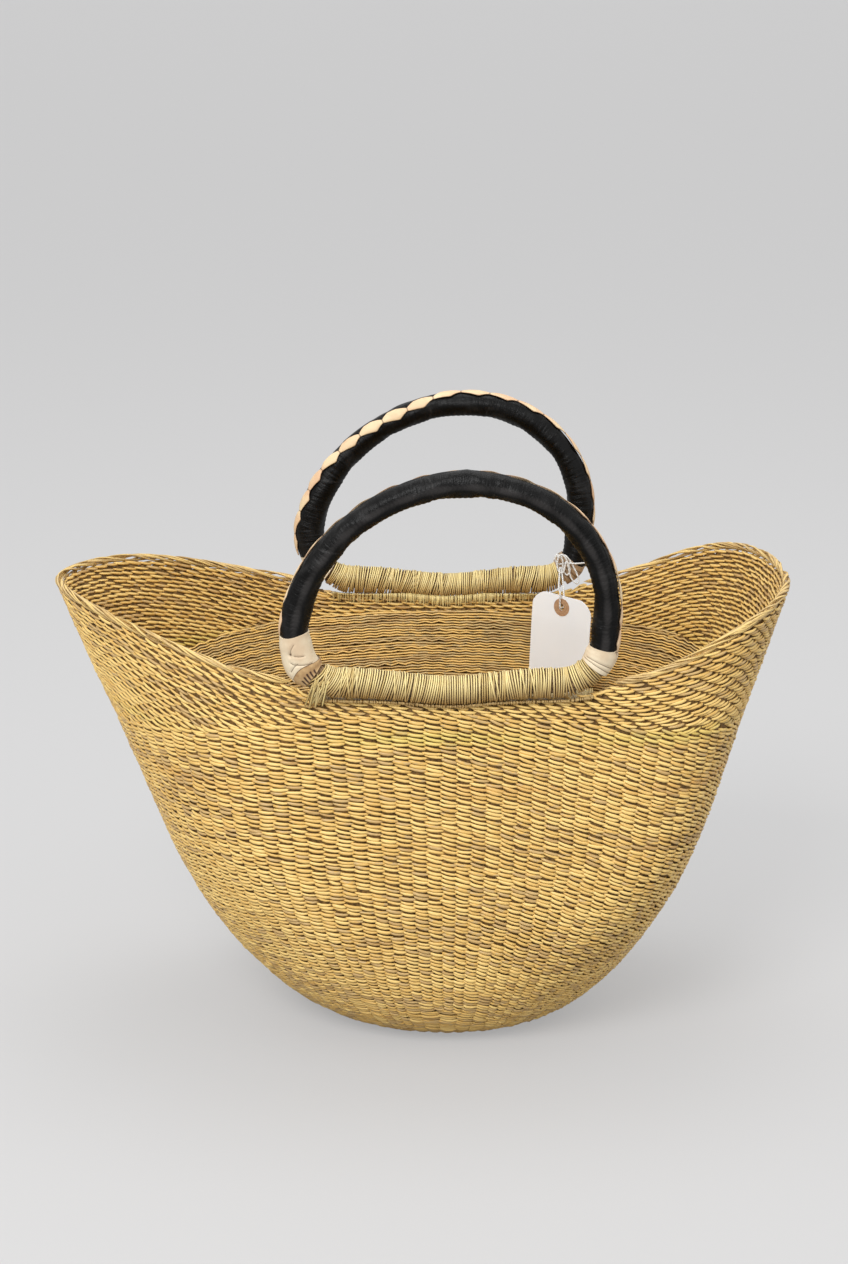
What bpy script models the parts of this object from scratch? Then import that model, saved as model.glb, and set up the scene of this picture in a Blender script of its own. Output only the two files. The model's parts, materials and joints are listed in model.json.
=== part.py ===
"""Bolga basket: a twined straw shopper with two horns and two leather covered hoop handles.

Metres, +Z up. The camera side of the basket is -Y. Both handle hoops hinge on the straw
windings that bind them to the mouth, and a blank paper tag hangs from the back hoop.
"""

import math

import bmesh
import bpy
from mathutils import Matrix, Vector

# Clearances
touch_gap = 0.0003
string_gap = 0.0005
cover_gap = 0.0008

# Woven body, measured from the handles' centre line
wall_thickness = 0.006
base_left = 0.066
base_right = 0.064
base_half_depth = 0.058
bulge_left = 0.067
bulge_right = 0.0575
side_bulge_height = 0.115
front_bulge_height = 0.140
mouth_half_depth = 0.1267
reach_left = 0.2525
reach_right = 0.2185
straight_half = 0.100
straight_height = 0.160
left_round_shares = (1.9, 1.7)
right_round_shares = (3.2, 2.0)
base_edge_height = 0.0125

# Mouth edge: low between the handles, rising to the two horns
rim_low_height = 0.2555
left_horn_height = 0.2885
right_horn_height = 0.2925
left_rise_start = 0.075
right_rise_start = 0.090
seam_high = 0.2335
seam_low = 0.207
flare_start = 0.1075
flare_step = 0.0015
rim_radius = 0.0026

# Ridges of the weave on the outer face: each stands for the ten or so twined rows that bulge together
ridge_pitch = 0.027
ridge_depth = 0.0018

# Handle hoops
hinge_height = 0.2517
lean_angle = math.radians(3.4)
fold_inward = math.radians(65)
bar_half = 0.060
bar_sag = 0.002
bar_lift = 0.003
corner_square_share = 2.5
core_swell_share = 0.4
leather_thickness = 0.0013
cuff_thickness = 0.0022
lacing_thickness = 0.0011

# Lacing over the sleeve's joint: its petals are longest at the top of the arch
lacing_width = 0.0082
lacing_pitch_leg = 0.0120
lacing_pitch_top = 0.0185
lacing_scallop_share = 0.66
stations_per_petal = 4

# Where the lacing lies round the tube, at even steps from the right cuff to the left one:
# degrees from the outward side, positive towards the back
front_lacing_degrees = (-16.0, -4.0, 18.0, 44.0, 50.0, 50.0, 44.0, 12.0, -8.0)
back_lacing_degrees = (-4.0, -6.0, -8.0, -10.0, -14.0, -38.0, -58.0, -44.0, -14.0)

# Straw winding that binds each hoop to the mouth
winding_radius = 0.00875
straw_radius = 0.0022
winding_turns = 24
points_per_turn = 12

# Tag on its string
tag_width = 0.048
tag_height = 0.096
tag_thickness = 0.0006
tag_clip_across = 0.010
tag_clip_down = 0.0095
eyelet_below_top = 0.008
eyelet_radius = 0.0022
patch_radius = 0.0062
patch_thickness = 0.0004
eyelet_x = 0.079
eyelet_y = 0.1010
eyelet_z = 0.2407
knot_x = 0.0785
knot_y = 0.1190
knot_z = 0.2665
eyelet_place = Vector((eyelet_x, eyelet_y, eyelet_z))
knot_place = Vector((knot_x, knot_y, knot_z))
tag_turn = math.radians(-37)
tag_drift = math.radians(4)
string_radius = 0.0006
string_loop_height = 0.0175
loop_first_turn = math.radians(-115)
loop_last_turn = math.radians(215)

# Mesh counts
columns_beside_roll = 5
columns_to_tip = 8
flare_columns = 13
outline_steps = 48
tube_sides = 8
flat_share = math.cos(math.pi / tube_sides)

# Front hoop, lengths running along it from the middle of its bar
front_arch_half = 0.0922
front_shoulder = 0.037
front_rise = 0.088
front_skew = 0.011
front_shift = 0.0
front_leg_radius = 0.0077
front_top_radius = 0.0070
front_left_cuff_start = 0.0830
front_left_cuff_end = 0.1120
front_right_cuff_start = 0.0860
front_right_cuff_end = 0.1030
front_cuff_radius = 0.0094

# Back hoop
back_arch_half = 0.0925
back_shoulder = 0.038
back_rise = 0.086
back_skew = 0.014
back_shift = -0.0015
back_leg_radius = 0.0088
back_top_radius = 0.0078
back_left_cuff_start = 0.0820
back_left_cuff_end = 0.1020
back_right_cuff_start = 0.0800
back_right_cuff_end = 0.0935
back_cuff_radius = 0.0098


class Handle:
    """One hoop. side is -1 in front and 1 behind."""

    def __init__(self, name, side, arch, leg_radius, top_radius, left_cuff, right_cuff, cuff_radius,
                 lacing_degrees):
        self.name = name
        self.lacing_degrees = lacing_degrees
        self.side = side
        self.arch_half, self.shoulder, self.rise, self.skew, self.shift = arch
        self.leg_radius = leg_radius
        self.top_radius = top_radius
        self.left_cuff = left_cuff
        self.right_cuff = right_cuff
        self.cuff_radius = cuff_radius


front_handle = Handle(
    "front", -1, (front_arch_half, front_shoulder, front_rise, front_skew, front_shift),
    front_leg_radius, front_top_radius, (front_left_cuff_start, front_left_cuff_end),
    (front_right_cuff_start, front_right_cuff_end), front_cuff_radius, front_lacing_degrees)
back_handle = Handle(
    "back", 1, (back_arch_half, back_shoulder, back_rise, back_skew, back_shift),
    back_leg_radius, back_top_radius, (back_left_cuff_start, back_left_cuff_end),
    (back_right_cuff_start, back_right_cuff_end), back_cuff_radius, back_lacing_degrees)


# Shared helpers

def smooth(share):
    share = min(max(share, 0.0), 1.0)
    return share * share * (3.0 - 2.0 * share)


def mix(first, second, share):
    return first + (second - first) * share


def material(name, colour, roughness, metallic=0.0):
    made = bpy.data.materials.new(name)
    made.use_nodes = True
    shader = made.node_tree.nodes["Principled BSDF"]
    shader.inputs["Base Color"].default_value = (*colour, 1.0)
    shader.inputs["Roughness"].default_value = roughness
    shader.inputs["Metallic"].default_value = metallic
    return made


def add_object(name, data, surface, parent=None):
    thing = bpy.data.objects.new(name, data)
    data.materials.append(surface)
    collection.objects.link(thing)
    thing.parent = parent
    return thing


def add_empty(name, place, turn=(0.0, 0.0, 0.0), parent=None):
    empty = bpy.data.objects.new(name, None)
    empty.location = place
    empty.rotation_euler = turn
    empty.parent = parent
    collection.objects.link(empty)
    return empty


def mapped_grid(name, across, along, place, surface, parent=None):
    """A grid primitive whose point (i, j) moves to place(i, j), with the edges that meet welded."""
    mesh_builder = bmesh.new()
    bmesh.ops.create_grid(mesh_builder, x_segments=across, y_segments=along, size=1.0)
    for vertex in mesh_builder.verts:
        i = round((vertex.co.x + 1.0) / 2.0 * across)
        j = round((vertex.co.y + 1.0) / 2.0 * along)
        vertex.co = place(i, j)
    bmesh.ops.remove_doubles(mesh_builder, verts=mesh_builder.verts, dist=touch_gap / 100.0)
    open_edges = [edge for edge in mesh_builder.edges if edge.is_boundary]
    if open_edges:
        bmesh.ops.holes_fill(mesh_builder, edges=open_edges, sides=0)
    bmesh.ops.recalc_face_normals(mesh_builder, faces=mesh_builder.faces)
    mesh = bpy.data.meshes.new(name)
    mesh_builder.to_mesh(mesh)
    mesh_builder.free()
    return add_object(name, mesh, surface, parent)


def tube(name, points, radius, surface, parent=None, radii=None, closed=False, capped=True,
         resolution=2):
    """A curve tube along points, with an optional radius for each point."""
    curve = bpy.data.curves.new(name, "CURVE")
    curve.dimensions = "3D"
    curve.bevel_depth = radius
    curve.bevel_resolution = resolution
    curve.use_fill_caps = capped and not closed
    spline = curve.splines.new("POLY")
    spline.points.add(len(points) - 1)
    for index, point in enumerate(points):
        spline.points[index].co = (*point, 1.0)
        spline.points[index].radius = radii[index] / radius if radii else 1.0
    spline.use_cyclic_u = closed
    return add_object(name, curve, surface, parent)


# The basket's outer surface

def half_widths(side, height):
    """Half-width on one side (-1 left, 1 right) and half-depth of the body at this height."""
    low = base_left if side < 0 else base_right
    bulge = bulge_left if side < 0 else bulge_right
    reach = reach_left if side < 0 else reach_right
    top = left_horn_height if side < 0 else right_horn_height
    side_share = 1.0 - min(height / side_bulge_height, 1.0)
    front_share = 1.0 - min(height / front_bulge_height, 1.0)
    half_width = (low + bulge * math.sqrt(1.0 - side_share ** 2)
                  + (reach - low - bulge) * height / top)
    half_depth = mix(base_half_depth, mouth_half_depth, math.sqrt(1.0 - front_share ** 2))
    return half_width, half_depth


def quarter_outline(side, height):
    """Points and running lengths of a quarter of the plan, from the middle of the back to the tip."""
    half_width, half_depth = half_widths(side, height)
    grown = smooth(height / straight_height)
    straight = straight_half * grown
    round_shares = left_round_shares if side < 0 else right_round_shares
    along_power = 2.0 / mix(2.0, round_shares[0], grown)
    across_power = 2.0 / mix(2.0, round_shares[1], grown)
    points = [(0.0, half_depth)]
    for step in range(outline_steps + 1):
        angle = math.pi / 2.0 * (1.0 - step / outline_steps)
        cosine = max(math.cos(angle), 0.0)
        sine = max(math.sin(angle), 0.0)
        points.append((straight + (half_width - straight) * cosine ** along_power,
                       half_depth * sine ** across_power))
    lengths = [0.0]
    for before, after in zip(points, points[1:]):
        lengths.append(lengths[-1] + math.dist(before, after))
    return points, lengths


def along_outline(points, lengths, length):
    """The plan point this far along a quarter outline."""
    for index in range(1, len(lengths)):
        if lengths[index] >= length or index == len(lengths) - 1:
            span = lengths[index] - lengths[index - 1]
            share = min((length - lengths[index - 1]) / span, 1.0) if span > 0.0 else 0.0
            before, after = points[index - 1], points[index]
            return mix(before[0], after[0], share), mix(before[1], after[1], share)


def length_to(points, lengths, x):
    """The running length at which a quarter outline reaches this x."""
    for index in range(1, len(points)):
        if points[index][0] >= x:
            share = (x - points[index - 1][0]) / (points[index][0] - points[index - 1][0])
            return mix(lengths[index - 1], lengths[index], share)
    return lengths[-1]


def body_point(side, face, share, height):
    """A point on the outer surface. face is -1 in front and 1 behind; share goes from middle to tip."""
    points, lengths = quarter_outline(side, height)
    x, y = along_outline(points, lengths, share * lengths[-1])
    return Vector((side * x, face * y, height))


def seam_height(x):
    """The height at which the body's level rows end and the rows that run with the rim begin."""
    reach = reach_left if x < 0.0 else reach_right
    return mix(seam_high, seam_low, smooth((abs(x) - flare_start) / (reach - flare_start)))


def rim_height(x):
    start = left_rise_start if x < 0.0 else right_rise_start
    reach = reach_left if x < 0.0 else reach_right
    horn = left_horn_height if x < 0.0 else right_horn_height
    return mix(rim_low_height, horn, smooth((abs(x) - start) / (reach - start)))


def bar_height(x):
    """Height of the hoop's bottom bar over its hinge line."""
    return mix(-bar_sag, bar_lift, smooth(abs(x) / bar_half))


def roll_seat_height(x):
    """The top of the wall under a winding, clear of it through the whole fold."""
    lift = bar_height(x)
    lowest = lift if lift < 0.0 else lift * math.cos(fold_inward)
    return hinge_height + lowest - winding_radius - touch_gap


def column_share(side, column, height):
    """How far along its quarter a mesh column lies, from 0 in the middle to 1 at the tip."""
    points, lengths = quarter_outline(side, height)
    count = columns_beside_roll + 1 + columns_to_tip
    edge = flare_start - touch_gap
    if column <= columns_beside_roll:
        x = (edge - flare_step) * column / columns_beside_roll
    else:
        x = edge
    level = smooth(height / seam_high)
    roll_share = mix(min(column, columns_beside_roll + 1) / count,
                     length_to(points, lengths, x) / lengths[-1], level)
    if column <= columns_beside_roll + 1:
        return roll_share
    return mix(roll_share, 1.0, (column - columns_beside_roll - 1) / columns_to_tip)


def ring_place(column, height):
    """Outer surface at a column that runs right round, starting in the middle of the back."""
    count = columns_beside_roll + 1 + columns_to_tip
    quarter, step = divmod(column % (4 * count), count)
    side = 1 if quarter in (0, 1) else -1
    face = 1 if quarter in (0, 3) else -1
    if quarter in (1, 3):
        step = count - step
    whole = math.floor(step)
    share = column_share(side, whole, height)
    if step > whole:
        share = mix(share, column_share(side, whole + 1, height), step - whole)
    return body_point(side, face, share, height)


def shell_point(column, height, depth):
    """A point this deep in the wall, measured inwards from its outer face along the normal."""
    here = ring_place(column, height)
    if not depth:
        return here
    step = wall_thickness / 20.0
    low = max(height - step, 0.0)
    along = ring_place(column + 0.25, height) - ring_place(column - 0.25, height)
    up = ring_place(column, height + step) - ring_place(column, low)
    normal = along.cross(up).normalized()
    if normal.dot(Vector((here.x, here.y, 0.0))) < 0.0:
        normal = -normal
    return here - normal * depth


# Woven pieces

def ridge_rows(run):
    """How many mesh rows give the ridges of the weave over this run: a crest and a hollow for each."""
    return 2 * max(round(run / ridge_pitch), 1)


def wall_row(j, outer_rows, inner_rows):
    """Height share and depth of step j round the wall's section, from its outer bottom edge."""
    j %= outer_rows + inner_rows + 2
    if j <= outer_rows:
        return j / outer_rows, ridge_depth * (j % 2)
    return 1.0 - (j - outer_rows - 1) / inner_rows, wall_thickness


def wall_top(column):
    """Height of the wall's top edge at a column: under the winding, or at the flare's seam."""
    count = columns_beside_roll + 1 + columns_to_tip
    quarter, step = divmod(column % (4 * count), count)
    if quarter in (1, 3):
        step = count - step
    height = seam_high
    for _ in range(4):
        x = ring_place(column, height).x
        height = roll_seat_height(x) if step <= columns_beside_roll else seam_height(x)
    return height


def bowl_level(share, low, high):
    """Heights that step evenly round the belly below its widest level, then evenly up the wall."""
    start = math.acos(1.0 - min(low / side_bulge_height, 1.0))
    bend = share * (math.pi / 2.0 - start + (high - side_bulge_height) / side_bulge_height) + start
    if bend < math.pi / 2.0:
        return side_bulge_height * (1.0 - math.cos(bend))
    return side_bulge_height * (1.0 + bend - math.pi / 2.0)


def make_wall(surface):
    count = 4 * (columns_beside_roll + 1 + columns_to_tip)
    edge = base_edge_height + touch_gap
    tops = [wall_top(column) for column in range(count)]
    line = [ring_place(0, bowl_level(step / outline_steps, edge, tops[0])) for step in range(outline_steps + 1)]
    outer_rows = ridge_rows(sum((after - before).length for before, after in zip(line, line[1:])))
    inner_rows = 7

    def place(i, j):
        share, depth = wall_row(j, outer_rows, inner_rows)
        column = i % count
        return shell_point(column, bowl_level(share, edge, tops[column]), depth)

    mapped_grid("body_weave", count, outer_rows + inner_rows + 2, place, surface)


def make_base(surface):
    count = 4 * (columns_beside_roll + 1 + columns_to_tip)
    flat_rows = 2
    edge_rows = 2
    rows = flat_rows + edge_rows

    def place(i, j):
        inner = j > rows
        row = 2 * rows + 1 - j if inner else j
        column = i % count
        if row >= flat_rows:
            bend = (row - flat_rows) / edge_rows
            return shell_point(column, base_edge_height * bend ** 2, wall_thickness * inner)
        edge = ring_place(column, 0.0)
        height = wall_thickness if inner else 0.0
        return Vector((edge.x * row / flat_rows, edge.y * row / flat_rows, height))

    mapped_grid("base_weave", count, 2 * rows + 1, place, surface)


def flare_place(side, share, height):
    """Outer surface of a flare: share 0 is its front end beside the handle, 0.5 the tip, 1 its back end."""
    points, lengths = quarter_outline(side, height)
    start = length_to(points, lengths, flare_start)
    face = -1 if share < 0.5 else 1
    from_end = 2.0 * min(share, 1.0 - share)
    x, y = along_outline(points, lengths, mix(start, lengths[-1], from_end))
    return Vector((side * x, face * y, height))


def flare_shell_point(side, share, height, depth):
    here = flare_place(side, share, height)
    if not depth:
        return here
    nudge_share = 0.004
    step = wall_thickness / 20.0
    along = (flare_place(side, min(share + nudge_share, 1.0), height)
             - flare_place(side, max(share - nudge_share, 0.0), height))
    up = flare_place(side, share, height + step) - flare_place(side, share, height - step)
    normal = along.cross(up).normalized()
    if normal.dot(Vector((here.x, here.y, 0.0))) < 0.0:
        normal = -normal
    if share in (0.0, 1.0):
        normal = Vector((0.0, normal.y, normal.z)).normalized()
    return here - normal * depth


def settle(side, share, height_at):
    """The height at which a flare's column meets a line whose height depends on x."""
    height = seam_high
    for _ in range(6):
        height = height_at(flare_place(side, share, height).x)
    return height


def make_flare(name, side, surface):
    horn = left_horn_height if side < 0 else right_horn_height
    outer_rows = ridge_rows(horn - seam_low)
    inner_rows = 4
    columns = 2 * flare_columns

    def place(i, j):
        share = i / columns
        low = settle(side, share, seam_height) + touch_gap
        high = settle(side, share, rim_height) - 2.0 * rim_radius - touch_gap
        up, depth = wall_row(j, outer_rows, inner_rows)
        return flare_shell_point(side, share, mix(low, high, up), depth)

    mapped_grid(name, columns, outer_rows + inner_rows + 2, place, surface)


def make_rim(name, side, surface):
    """The laid border along one horn's edge, seated on the flare's top face."""
    def top_edge(share):
        height = settle(side, share, rim_height) - 2.0 * rim_radius - touch_gap
        return (flare_shell_point(side, share, height, 0.0),
                flare_shell_point(side, share, height, wall_thickness))

    points = []
    count = 2 * flare_columns
    small = 1.0 / (4.0 * count)
    for step in range(count + 1):
        share = step / count
        outer, inner = top_edge(share)
        along = top_edge(min(share + small, 1.0))[0] - top_edge(max(share - small, 0.0))[0]
        upward = (outer - inner).cross(along).normalized()
        if upward.z < 0.0:
            upward = -upward
        points.append((outer + inner) / 2.0 + upward * (rim_radius + 2.0 * touch_gap))
    tube(name, points, rim_radius, surface, resolution=1)


# Hoops: a closed outline in the hoop's own plane, x across and z up from the hinge line

def hoop_outline(handle):
    """Points of the whole hoop from the middle of its bar, round by the right leg, with running lengths."""
    half = []
    steps = outline_steps
    for step in range(steps):
        x = bar_half * step / steps
        half.append((x, bar_height(x)))
    for step in range(steps):
        angle = math.pi / 2.0 * (1.0 - step / steps)
        power = 2.0 / corner_square_share
        across = max(math.cos(angle), 0.0) ** power
        down = max(math.sin(angle), 0.0) ** power
        half.append((mix(bar_half, handle.arch_half, across), mix(handle.shoulder, bar_lift, down)))
    arch = []
    for step in range(2 * steps + 1):
        angle = math.pi * step / (2 * steps)
        arch.append((handle.arch_half * math.cos(angle) + handle.skew * math.sin(angle),
                     handle.shoulder + handle.rise * math.sin(angle)))
    left = [(-x, z) for x, z in reversed(half)]
    shift = [handle.shift * smooth(z / handle.shoulder) for x, z in half + arch + left]
    points = [(x + move, z) for (x, z), move in zip(half + arch + left, shift)]
    lengths = [0.0]
    for before, after in zip(points, points[1:]):
        lengths.append(lengths[-1] + math.dist(before, after))
    return points, lengths


def hoop_frame(handle, length):
    """Centre, tangent and outward normal of the hoop, in the hoop's plane, at a length along it."""
    points, lengths = handle.outline
    whole = lengths[-1]
    step = winding_radius / 8.0

    def at(position):
        x, z = along_outline(points, lengths, position % whole)
        return Vector((x, 0.0, z))

    centre = at(length)
    tangent = (at(length + step) - at(length - step)).normalized()
    normal = Vector((tangent.z, 0.0, -tangent.x))
    return centre, tangent, normal


def leather_radius(handle, length):
    """The sleeve's outer radius: the legs are thicker than the top of the arch."""
    centre, tangent, normal = hoop_frame(handle, length)
    return mix(handle.leg_radius, handle.top_radius, smooth(centre.z / (handle.shoulder + handle.rise)))


def coil_radius():
    return winding_radius - straw_radius


def core_radius(handle, length):
    """Under the leather the core fills the sleeve; under the winding it leaves room for the straw."""
    whole = handle.outline[1][-1]
    from_middle = min(length % whole, whole - length % whole)
    cuff = handle.right_cuff if length % whole < whole / 2.0 else handle.left_cuff
    bound = coil_radius() * math.cos(math.pi / points_per_turn) - straw_radius - touch_gap
    covered = (leather_radius(handle, length) - leather_thickness) * flat_share - touch_gap
    swell_start = mix(cuff[0], cuff[1], core_swell_share)
    return mix(bound, covered, smooth((from_middle - swell_start) / (cuff[1] - swell_start)))


def make_core(handle, surface, parent):
    whole = handle.outline[1][-1]
    count = 54
    points = [hoop_frame(handle, whole * step / count)[0] for step in range(count)]
    radii = [core_radius(handle, whole * step / count) for step in range(count)]
    tube(handle.name + "_handle_core", points, max(radii), surface, parent,
         radii=radii, closed=True, resolution=1)


def sleeve(name, handle, start, end, count, outer_radius, thickness, surface, parent):
    """A hollow cover round a stretch of the hoop: an open tube, thickened inwards."""
    square_end = leather_thickness
    inside = [mix(start + square_end, end - square_end, step / count) for step in range(count + 1)]
    lengths = [start] + inside + [end]
    points = [hoop_frame(handle, length)[0] for length in lengths]
    radii = [outer_radius(length) for length in lengths]
    cover = tube(name, points, max(radii), surface, parent, radii=radii, capped=False)
    shell = cover.modifiers.new("thickness", "SOLIDIFY")
    shell.thickness = thickness
    shell.offset = -1.0
    return cover


def make_covers(handle, leather, cream, parent):
    whole = handle.outline[1][-1]
    start = handle.right_cuff[1] + cover_gap
    end = whole - handle.left_cuff[1] - cover_gap
    sleeve(handle.name + "_handle_leather", handle, start, end, 38,
           lambda length: leather_radius(handle, length), leather_thickness, leather, parent)
    for side_name, cuff, sign in (("right", handle.right_cuff, 1.0), ("left", handle.left_cuff, -1.0)):
        low = cuff[0] if sign > 0 else whole - cuff[1]
        high = cuff[1] if sign > 0 else whole - cuff[0]
        inner = (max(core_radius(handle, low), core_radius(handle, high)) + touch_gap) / flat_share
        radius = max(handle.cuff_radius, inner + cuff_thickness / 2.0)
        sleeve(handle.name + "_" + side_name + "_cuff", handle, low, high, 4,
               lambda length, radius=radius: radius, radius - inner, cream, parent)


def lacing_lengths(handle, start, end):
    """Lengths of the stations along the lacing, in even steps of each petal."""
    line = [mix(start, end, step / outline_steps) for step in range(outline_steps + 1)]
    petals = [0.0]
    for before, after in zip(line, line[1:]):
        height = hoop_frame(handle, (before + after) / 2.0)[0].z
        pitch = mix(lacing_pitch_leg, lacing_pitch_top, smooth(height / (handle.shoulder + handle.rise)))
        petals.append(petals[-1] + (after - before) / pitch)
    stations = stations_per_petal * round(petals[-1])
    lengths = []
    for station in range(stations + 1):
        target = petals[-1] * station / stations
        index = max(sum(count < target for count in petals), 1)
        index = min(index, outline_steps)
        share = (target - petals[index - 1]) / (petals[index] - petals[index - 1])
        lengths.append(mix(line[index - 1], line[index], share))
    return lengths


def lacing_turn(handle, share):
    """Angle round the tube at which the lacing's middle lies."""
    table = handle.lacing_degrees
    step = share * (len(table) - 1)
    whole = min(math.floor(step), len(table) - 2)
    return math.radians(mix(table[whole], table[whole + 1], smooth(step - whole)))


def make_lacing(handle, surface, parent):
    """A laced strip with scalloped edges that closes the sleeve and wanders round its outer side."""
    whole = handle.outline[1][-1]
    start = handle.right_cuff[1] + cover_gap
    end = whole - handle.left_cuff[1] - cover_gap
    lengths = lacing_lengths(handle, start, end)
    stations = len(lengths) - 1
    across = 2

    def place(i, j):
        outer = j > across
        column = 2 * across + 1 - j if outer else j
        column = column % (2 * across + 2) if not outer else column
        length = lengths[i]
        centre, tangent, normal = hoop_frame(handle, length)
        radius = leather_radius(handle, length)
        wave = 0.5 - 0.5 * math.cos(2.0 * math.pi * i / stations_per_petal)
        half = lacing_width / 2.0 * (1.0 - lacing_scallop_share * (1.0 - wave))
        middle = lacing_turn(handle, (length - start) / (end - start))
        turn = middle + half / radius * (column - across / 2.0) / (across / 2.0)
        lift = string_gap + (lacing_thickness if outer else 0.0)
        direction = normal * math.cos(turn) + Vector((0.0, 1.0, 0.0)) * math.sin(turn)
        return centre + direction * (radius + lift)

    mapped_grid(handle.name + "_handle_lacing", stations, 2 * across + 2,
                lambda i, j: place(i, j % (2 * across + 2)), surface, parent)


def make_winding(handle, surface, parent):
    """One straw tube wound round the hoop's bar from cuff to cuff. Prints its least gap to itself."""
    start = -handle.left_cuff[0] + touch_gap + straw_radius
    end = handle.right_cuff[0] - touch_gap - straw_radius
    steps = winding_turns * points_per_turn
    points = []
    for step in range(steps + 1):
        length = mix(start, end, step / steps)
        centre, tangent, normal = hoop_frame(handle, length)
        turn = 2.0 * math.pi * step / points_per_turn
        direction = normal * math.cos(turn) + Vector((0.0, 1.0, 0.0)) * math.sin(turn)
        points.append(centre + direction * coil_radius())
    gap = min((first - second).length
              for index, first in enumerate(points)
              for second in points[index + points_per_turn // 2:]) - 2.0 * straw_radius
    print(f"{handle.name} winding: {winding_turns} turns, least gap to itself {gap * 1000.0:.2f} mm")
    tube(handle.name + "_winding", points, straw_radius, surface, parent, resolution=1)


def make_handle(handle, colours):
    handle.outline = hoop_outline(handle)
    place = (0.0, handle.side * mouth_half_depth, hinge_height)
    hinge = add_empty(handle.name + "_hinge", place, (-handle.side * lean_angle, 0.0, 0.0))
    make_core(handle, colours["core"], hinge)
    make_covers(handle, colours["leather"], colours["cream"], hinge)
    make_lacing(handle, colours["peach"], hinge)
    make_winding(handle, colours["pale_straw"], hinge)
    return hinge


# Tag

def flat_outline(name, outlines, thickness, surface, parent, place):
    """A flat 2D curve with holes, extruded to its thickness and stood upright."""
    curve = bpy.data.curves.new(name, "CURVE")
    curve.dimensions = "2D"
    curve.fill_mode = "BOTH"
    curve.extrude = thickness / 2.0
    for points in outlines:
        spline = curve.splines.new("POLY")
        spline.points.add(len(points) - 1)
        for index, (x, z) in enumerate(points):
            spline.points[index].co = (x, z, 0.0, 1.0)
        spline.use_cyclic_u = True
    thing = add_object(name, curve, surface, parent)
    thing.rotation_euler = (math.pi / 2.0, 0.0, 0.0)
    thing.location = place
    return thing


def circle(radius, count):
    return [(radius * math.cos(2.0 * math.pi * step / count), radius * math.sin(2.0 * math.pi * step / count))
            for step in range(count)]


def make_tag(colours):
    pivot = add_empty("tag_pivot", knot_place)
    eyelet = add_empty("tag_eyelet", eyelet_place - knot_place, (0.0, tag_drift, tag_turn), pivot)
    top = eyelet_below_top
    low = eyelet_below_top - tag_height
    half = tag_width / 2.0
    card = [(-half, low), (half, low), (half, top - tag_clip_down), (half - tag_clip_across, top),
            (-half + tag_clip_across, top), (-half, top - tag_clip_down)]
    hole = circle(eyelet_radius, 12)
    patch_offset = (tag_thickness + patch_thickness) / 2.0 + touch_gap
    flat_outline("tag_card", [card, hole], tag_thickness, colours["paper"], eyelet, (0.0, 0.0, 0.0))
    for name, sign in (("tag_patch_front", -1.0), ("tag_patch_back", 1.0)):
        flat_outline(name, [circle(patch_radius, 20), hole], patch_thickness, colours["patch"], eyelet,
                     (0.0, sign * patch_offset, 0.0))


def leg_centre(handle, height):
    """Centre of the hoop's right leg, in the hoop's plane, at a height over the hinge line."""
    points, lengths = handle.outline
    for before, after in zip(points, points[1:]):
        if before[1] <= height <= after[1]:
            share = (height - before[1]) / (after[1] - before[1])
            return Vector((mix(before[0], after[0], share), 0.0, height))


def make_string(colours):
    """One thread: from the knot round the hoop's right leg, down through the eyelet and up behind."""
    leg = leg_centre(back_handle, string_loop_height)
    hinge_place = Vector((0.0, mouth_half_depth, hinge_height))
    leg = Matrix.Translation(hinge_place) @ Matrix.Rotation(-lean_angle, 4, "X") @ leg
    loop = back_handle.leg_radius + lacing_thickness + 3.0 * string_gap + string_radius
    points = [knot_place.copy()]
    radii = [string_radius]
    count = 14
    for step in range(count + 1):
        turn = mix(loop_first_turn, loop_last_turn, step / count)
        rise = string_radius * 5.0 * (step / count - 0.5)
        points.append(leg + Vector((loop * math.cos(turn), loop * math.sin(turn), rise)))
        radii.append(string_radius)
    aside = Vector((-4.0 * string_radius, -2.0 * string_radius, 3.0 * string_radius))
    points.append(knot_place + aside)
    radii.append(string_radius)
    front = Vector((0.0, -1.0, 0.0))
    front.rotate(Matrix.Rotation(tag_turn, 3, "Z"))
    near = tag_thickness / 2.0 + patch_thickness + 2.0 * touch_gap + 2.0 * string_radius
    over_top = eyelet_below_top + 4.0 * string_radius
    points.append(eyelet_place + front * near + Vector((0.0, 0.0, over_top)))
    radii.append(string_radius)
    points.append(eyelet_place + front * near * 0.8)
    radii.append(string_radius)
    points.append(eyelet_place - front * near * 0.8)
    radii.append(string_radius)
    points.append(eyelet_place - front * near + Vector((0.0, 0.0, eyelet_radius * 2.0)))
    radii.append(string_radius)
    points.append(knot_place + Vector((0.0, -2.0 * string_radius, -4.0 * string_radius)))
    radii.append(string_radius)
    tube("tag_string", points, string_radius, colours["string"], radii=radii, resolution=1)


# Build

for thing in list(bpy.data.objects):
    bpy.data.objects.remove(thing)
collection = bpy.data.collections.new("bolga_basket")
bpy.context.scene.collection.children.link(collection)

palette = {
    "straw": material("golden_straw", (0.62, 0.43, 0.16), 0.75),
    "pale_straw": material("pale_straw", (0.70, 0.58, 0.24), 0.7),
    "core": material("grass_core", (0.45, 0.32, 0.16), 0.85),
    "leather": material("black_leather", (0.02, 0.02, 0.022), 0.45),
    "cream": material("cream_leather", (0.78, 0.68, 0.52), 0.65),
    "peach": material("peach_leather", (0.80, 0.60, 0.42), 0.65),
    "paper": material("white_card", (0.85, 0.85, 0.85), 0.8),
    "patch": material("brown_patch", (0.42, 0.30, 0.24), 0.8),
    "string": material("white_string", (0.82, 0.82, 0.80), 0.85),
}

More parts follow.
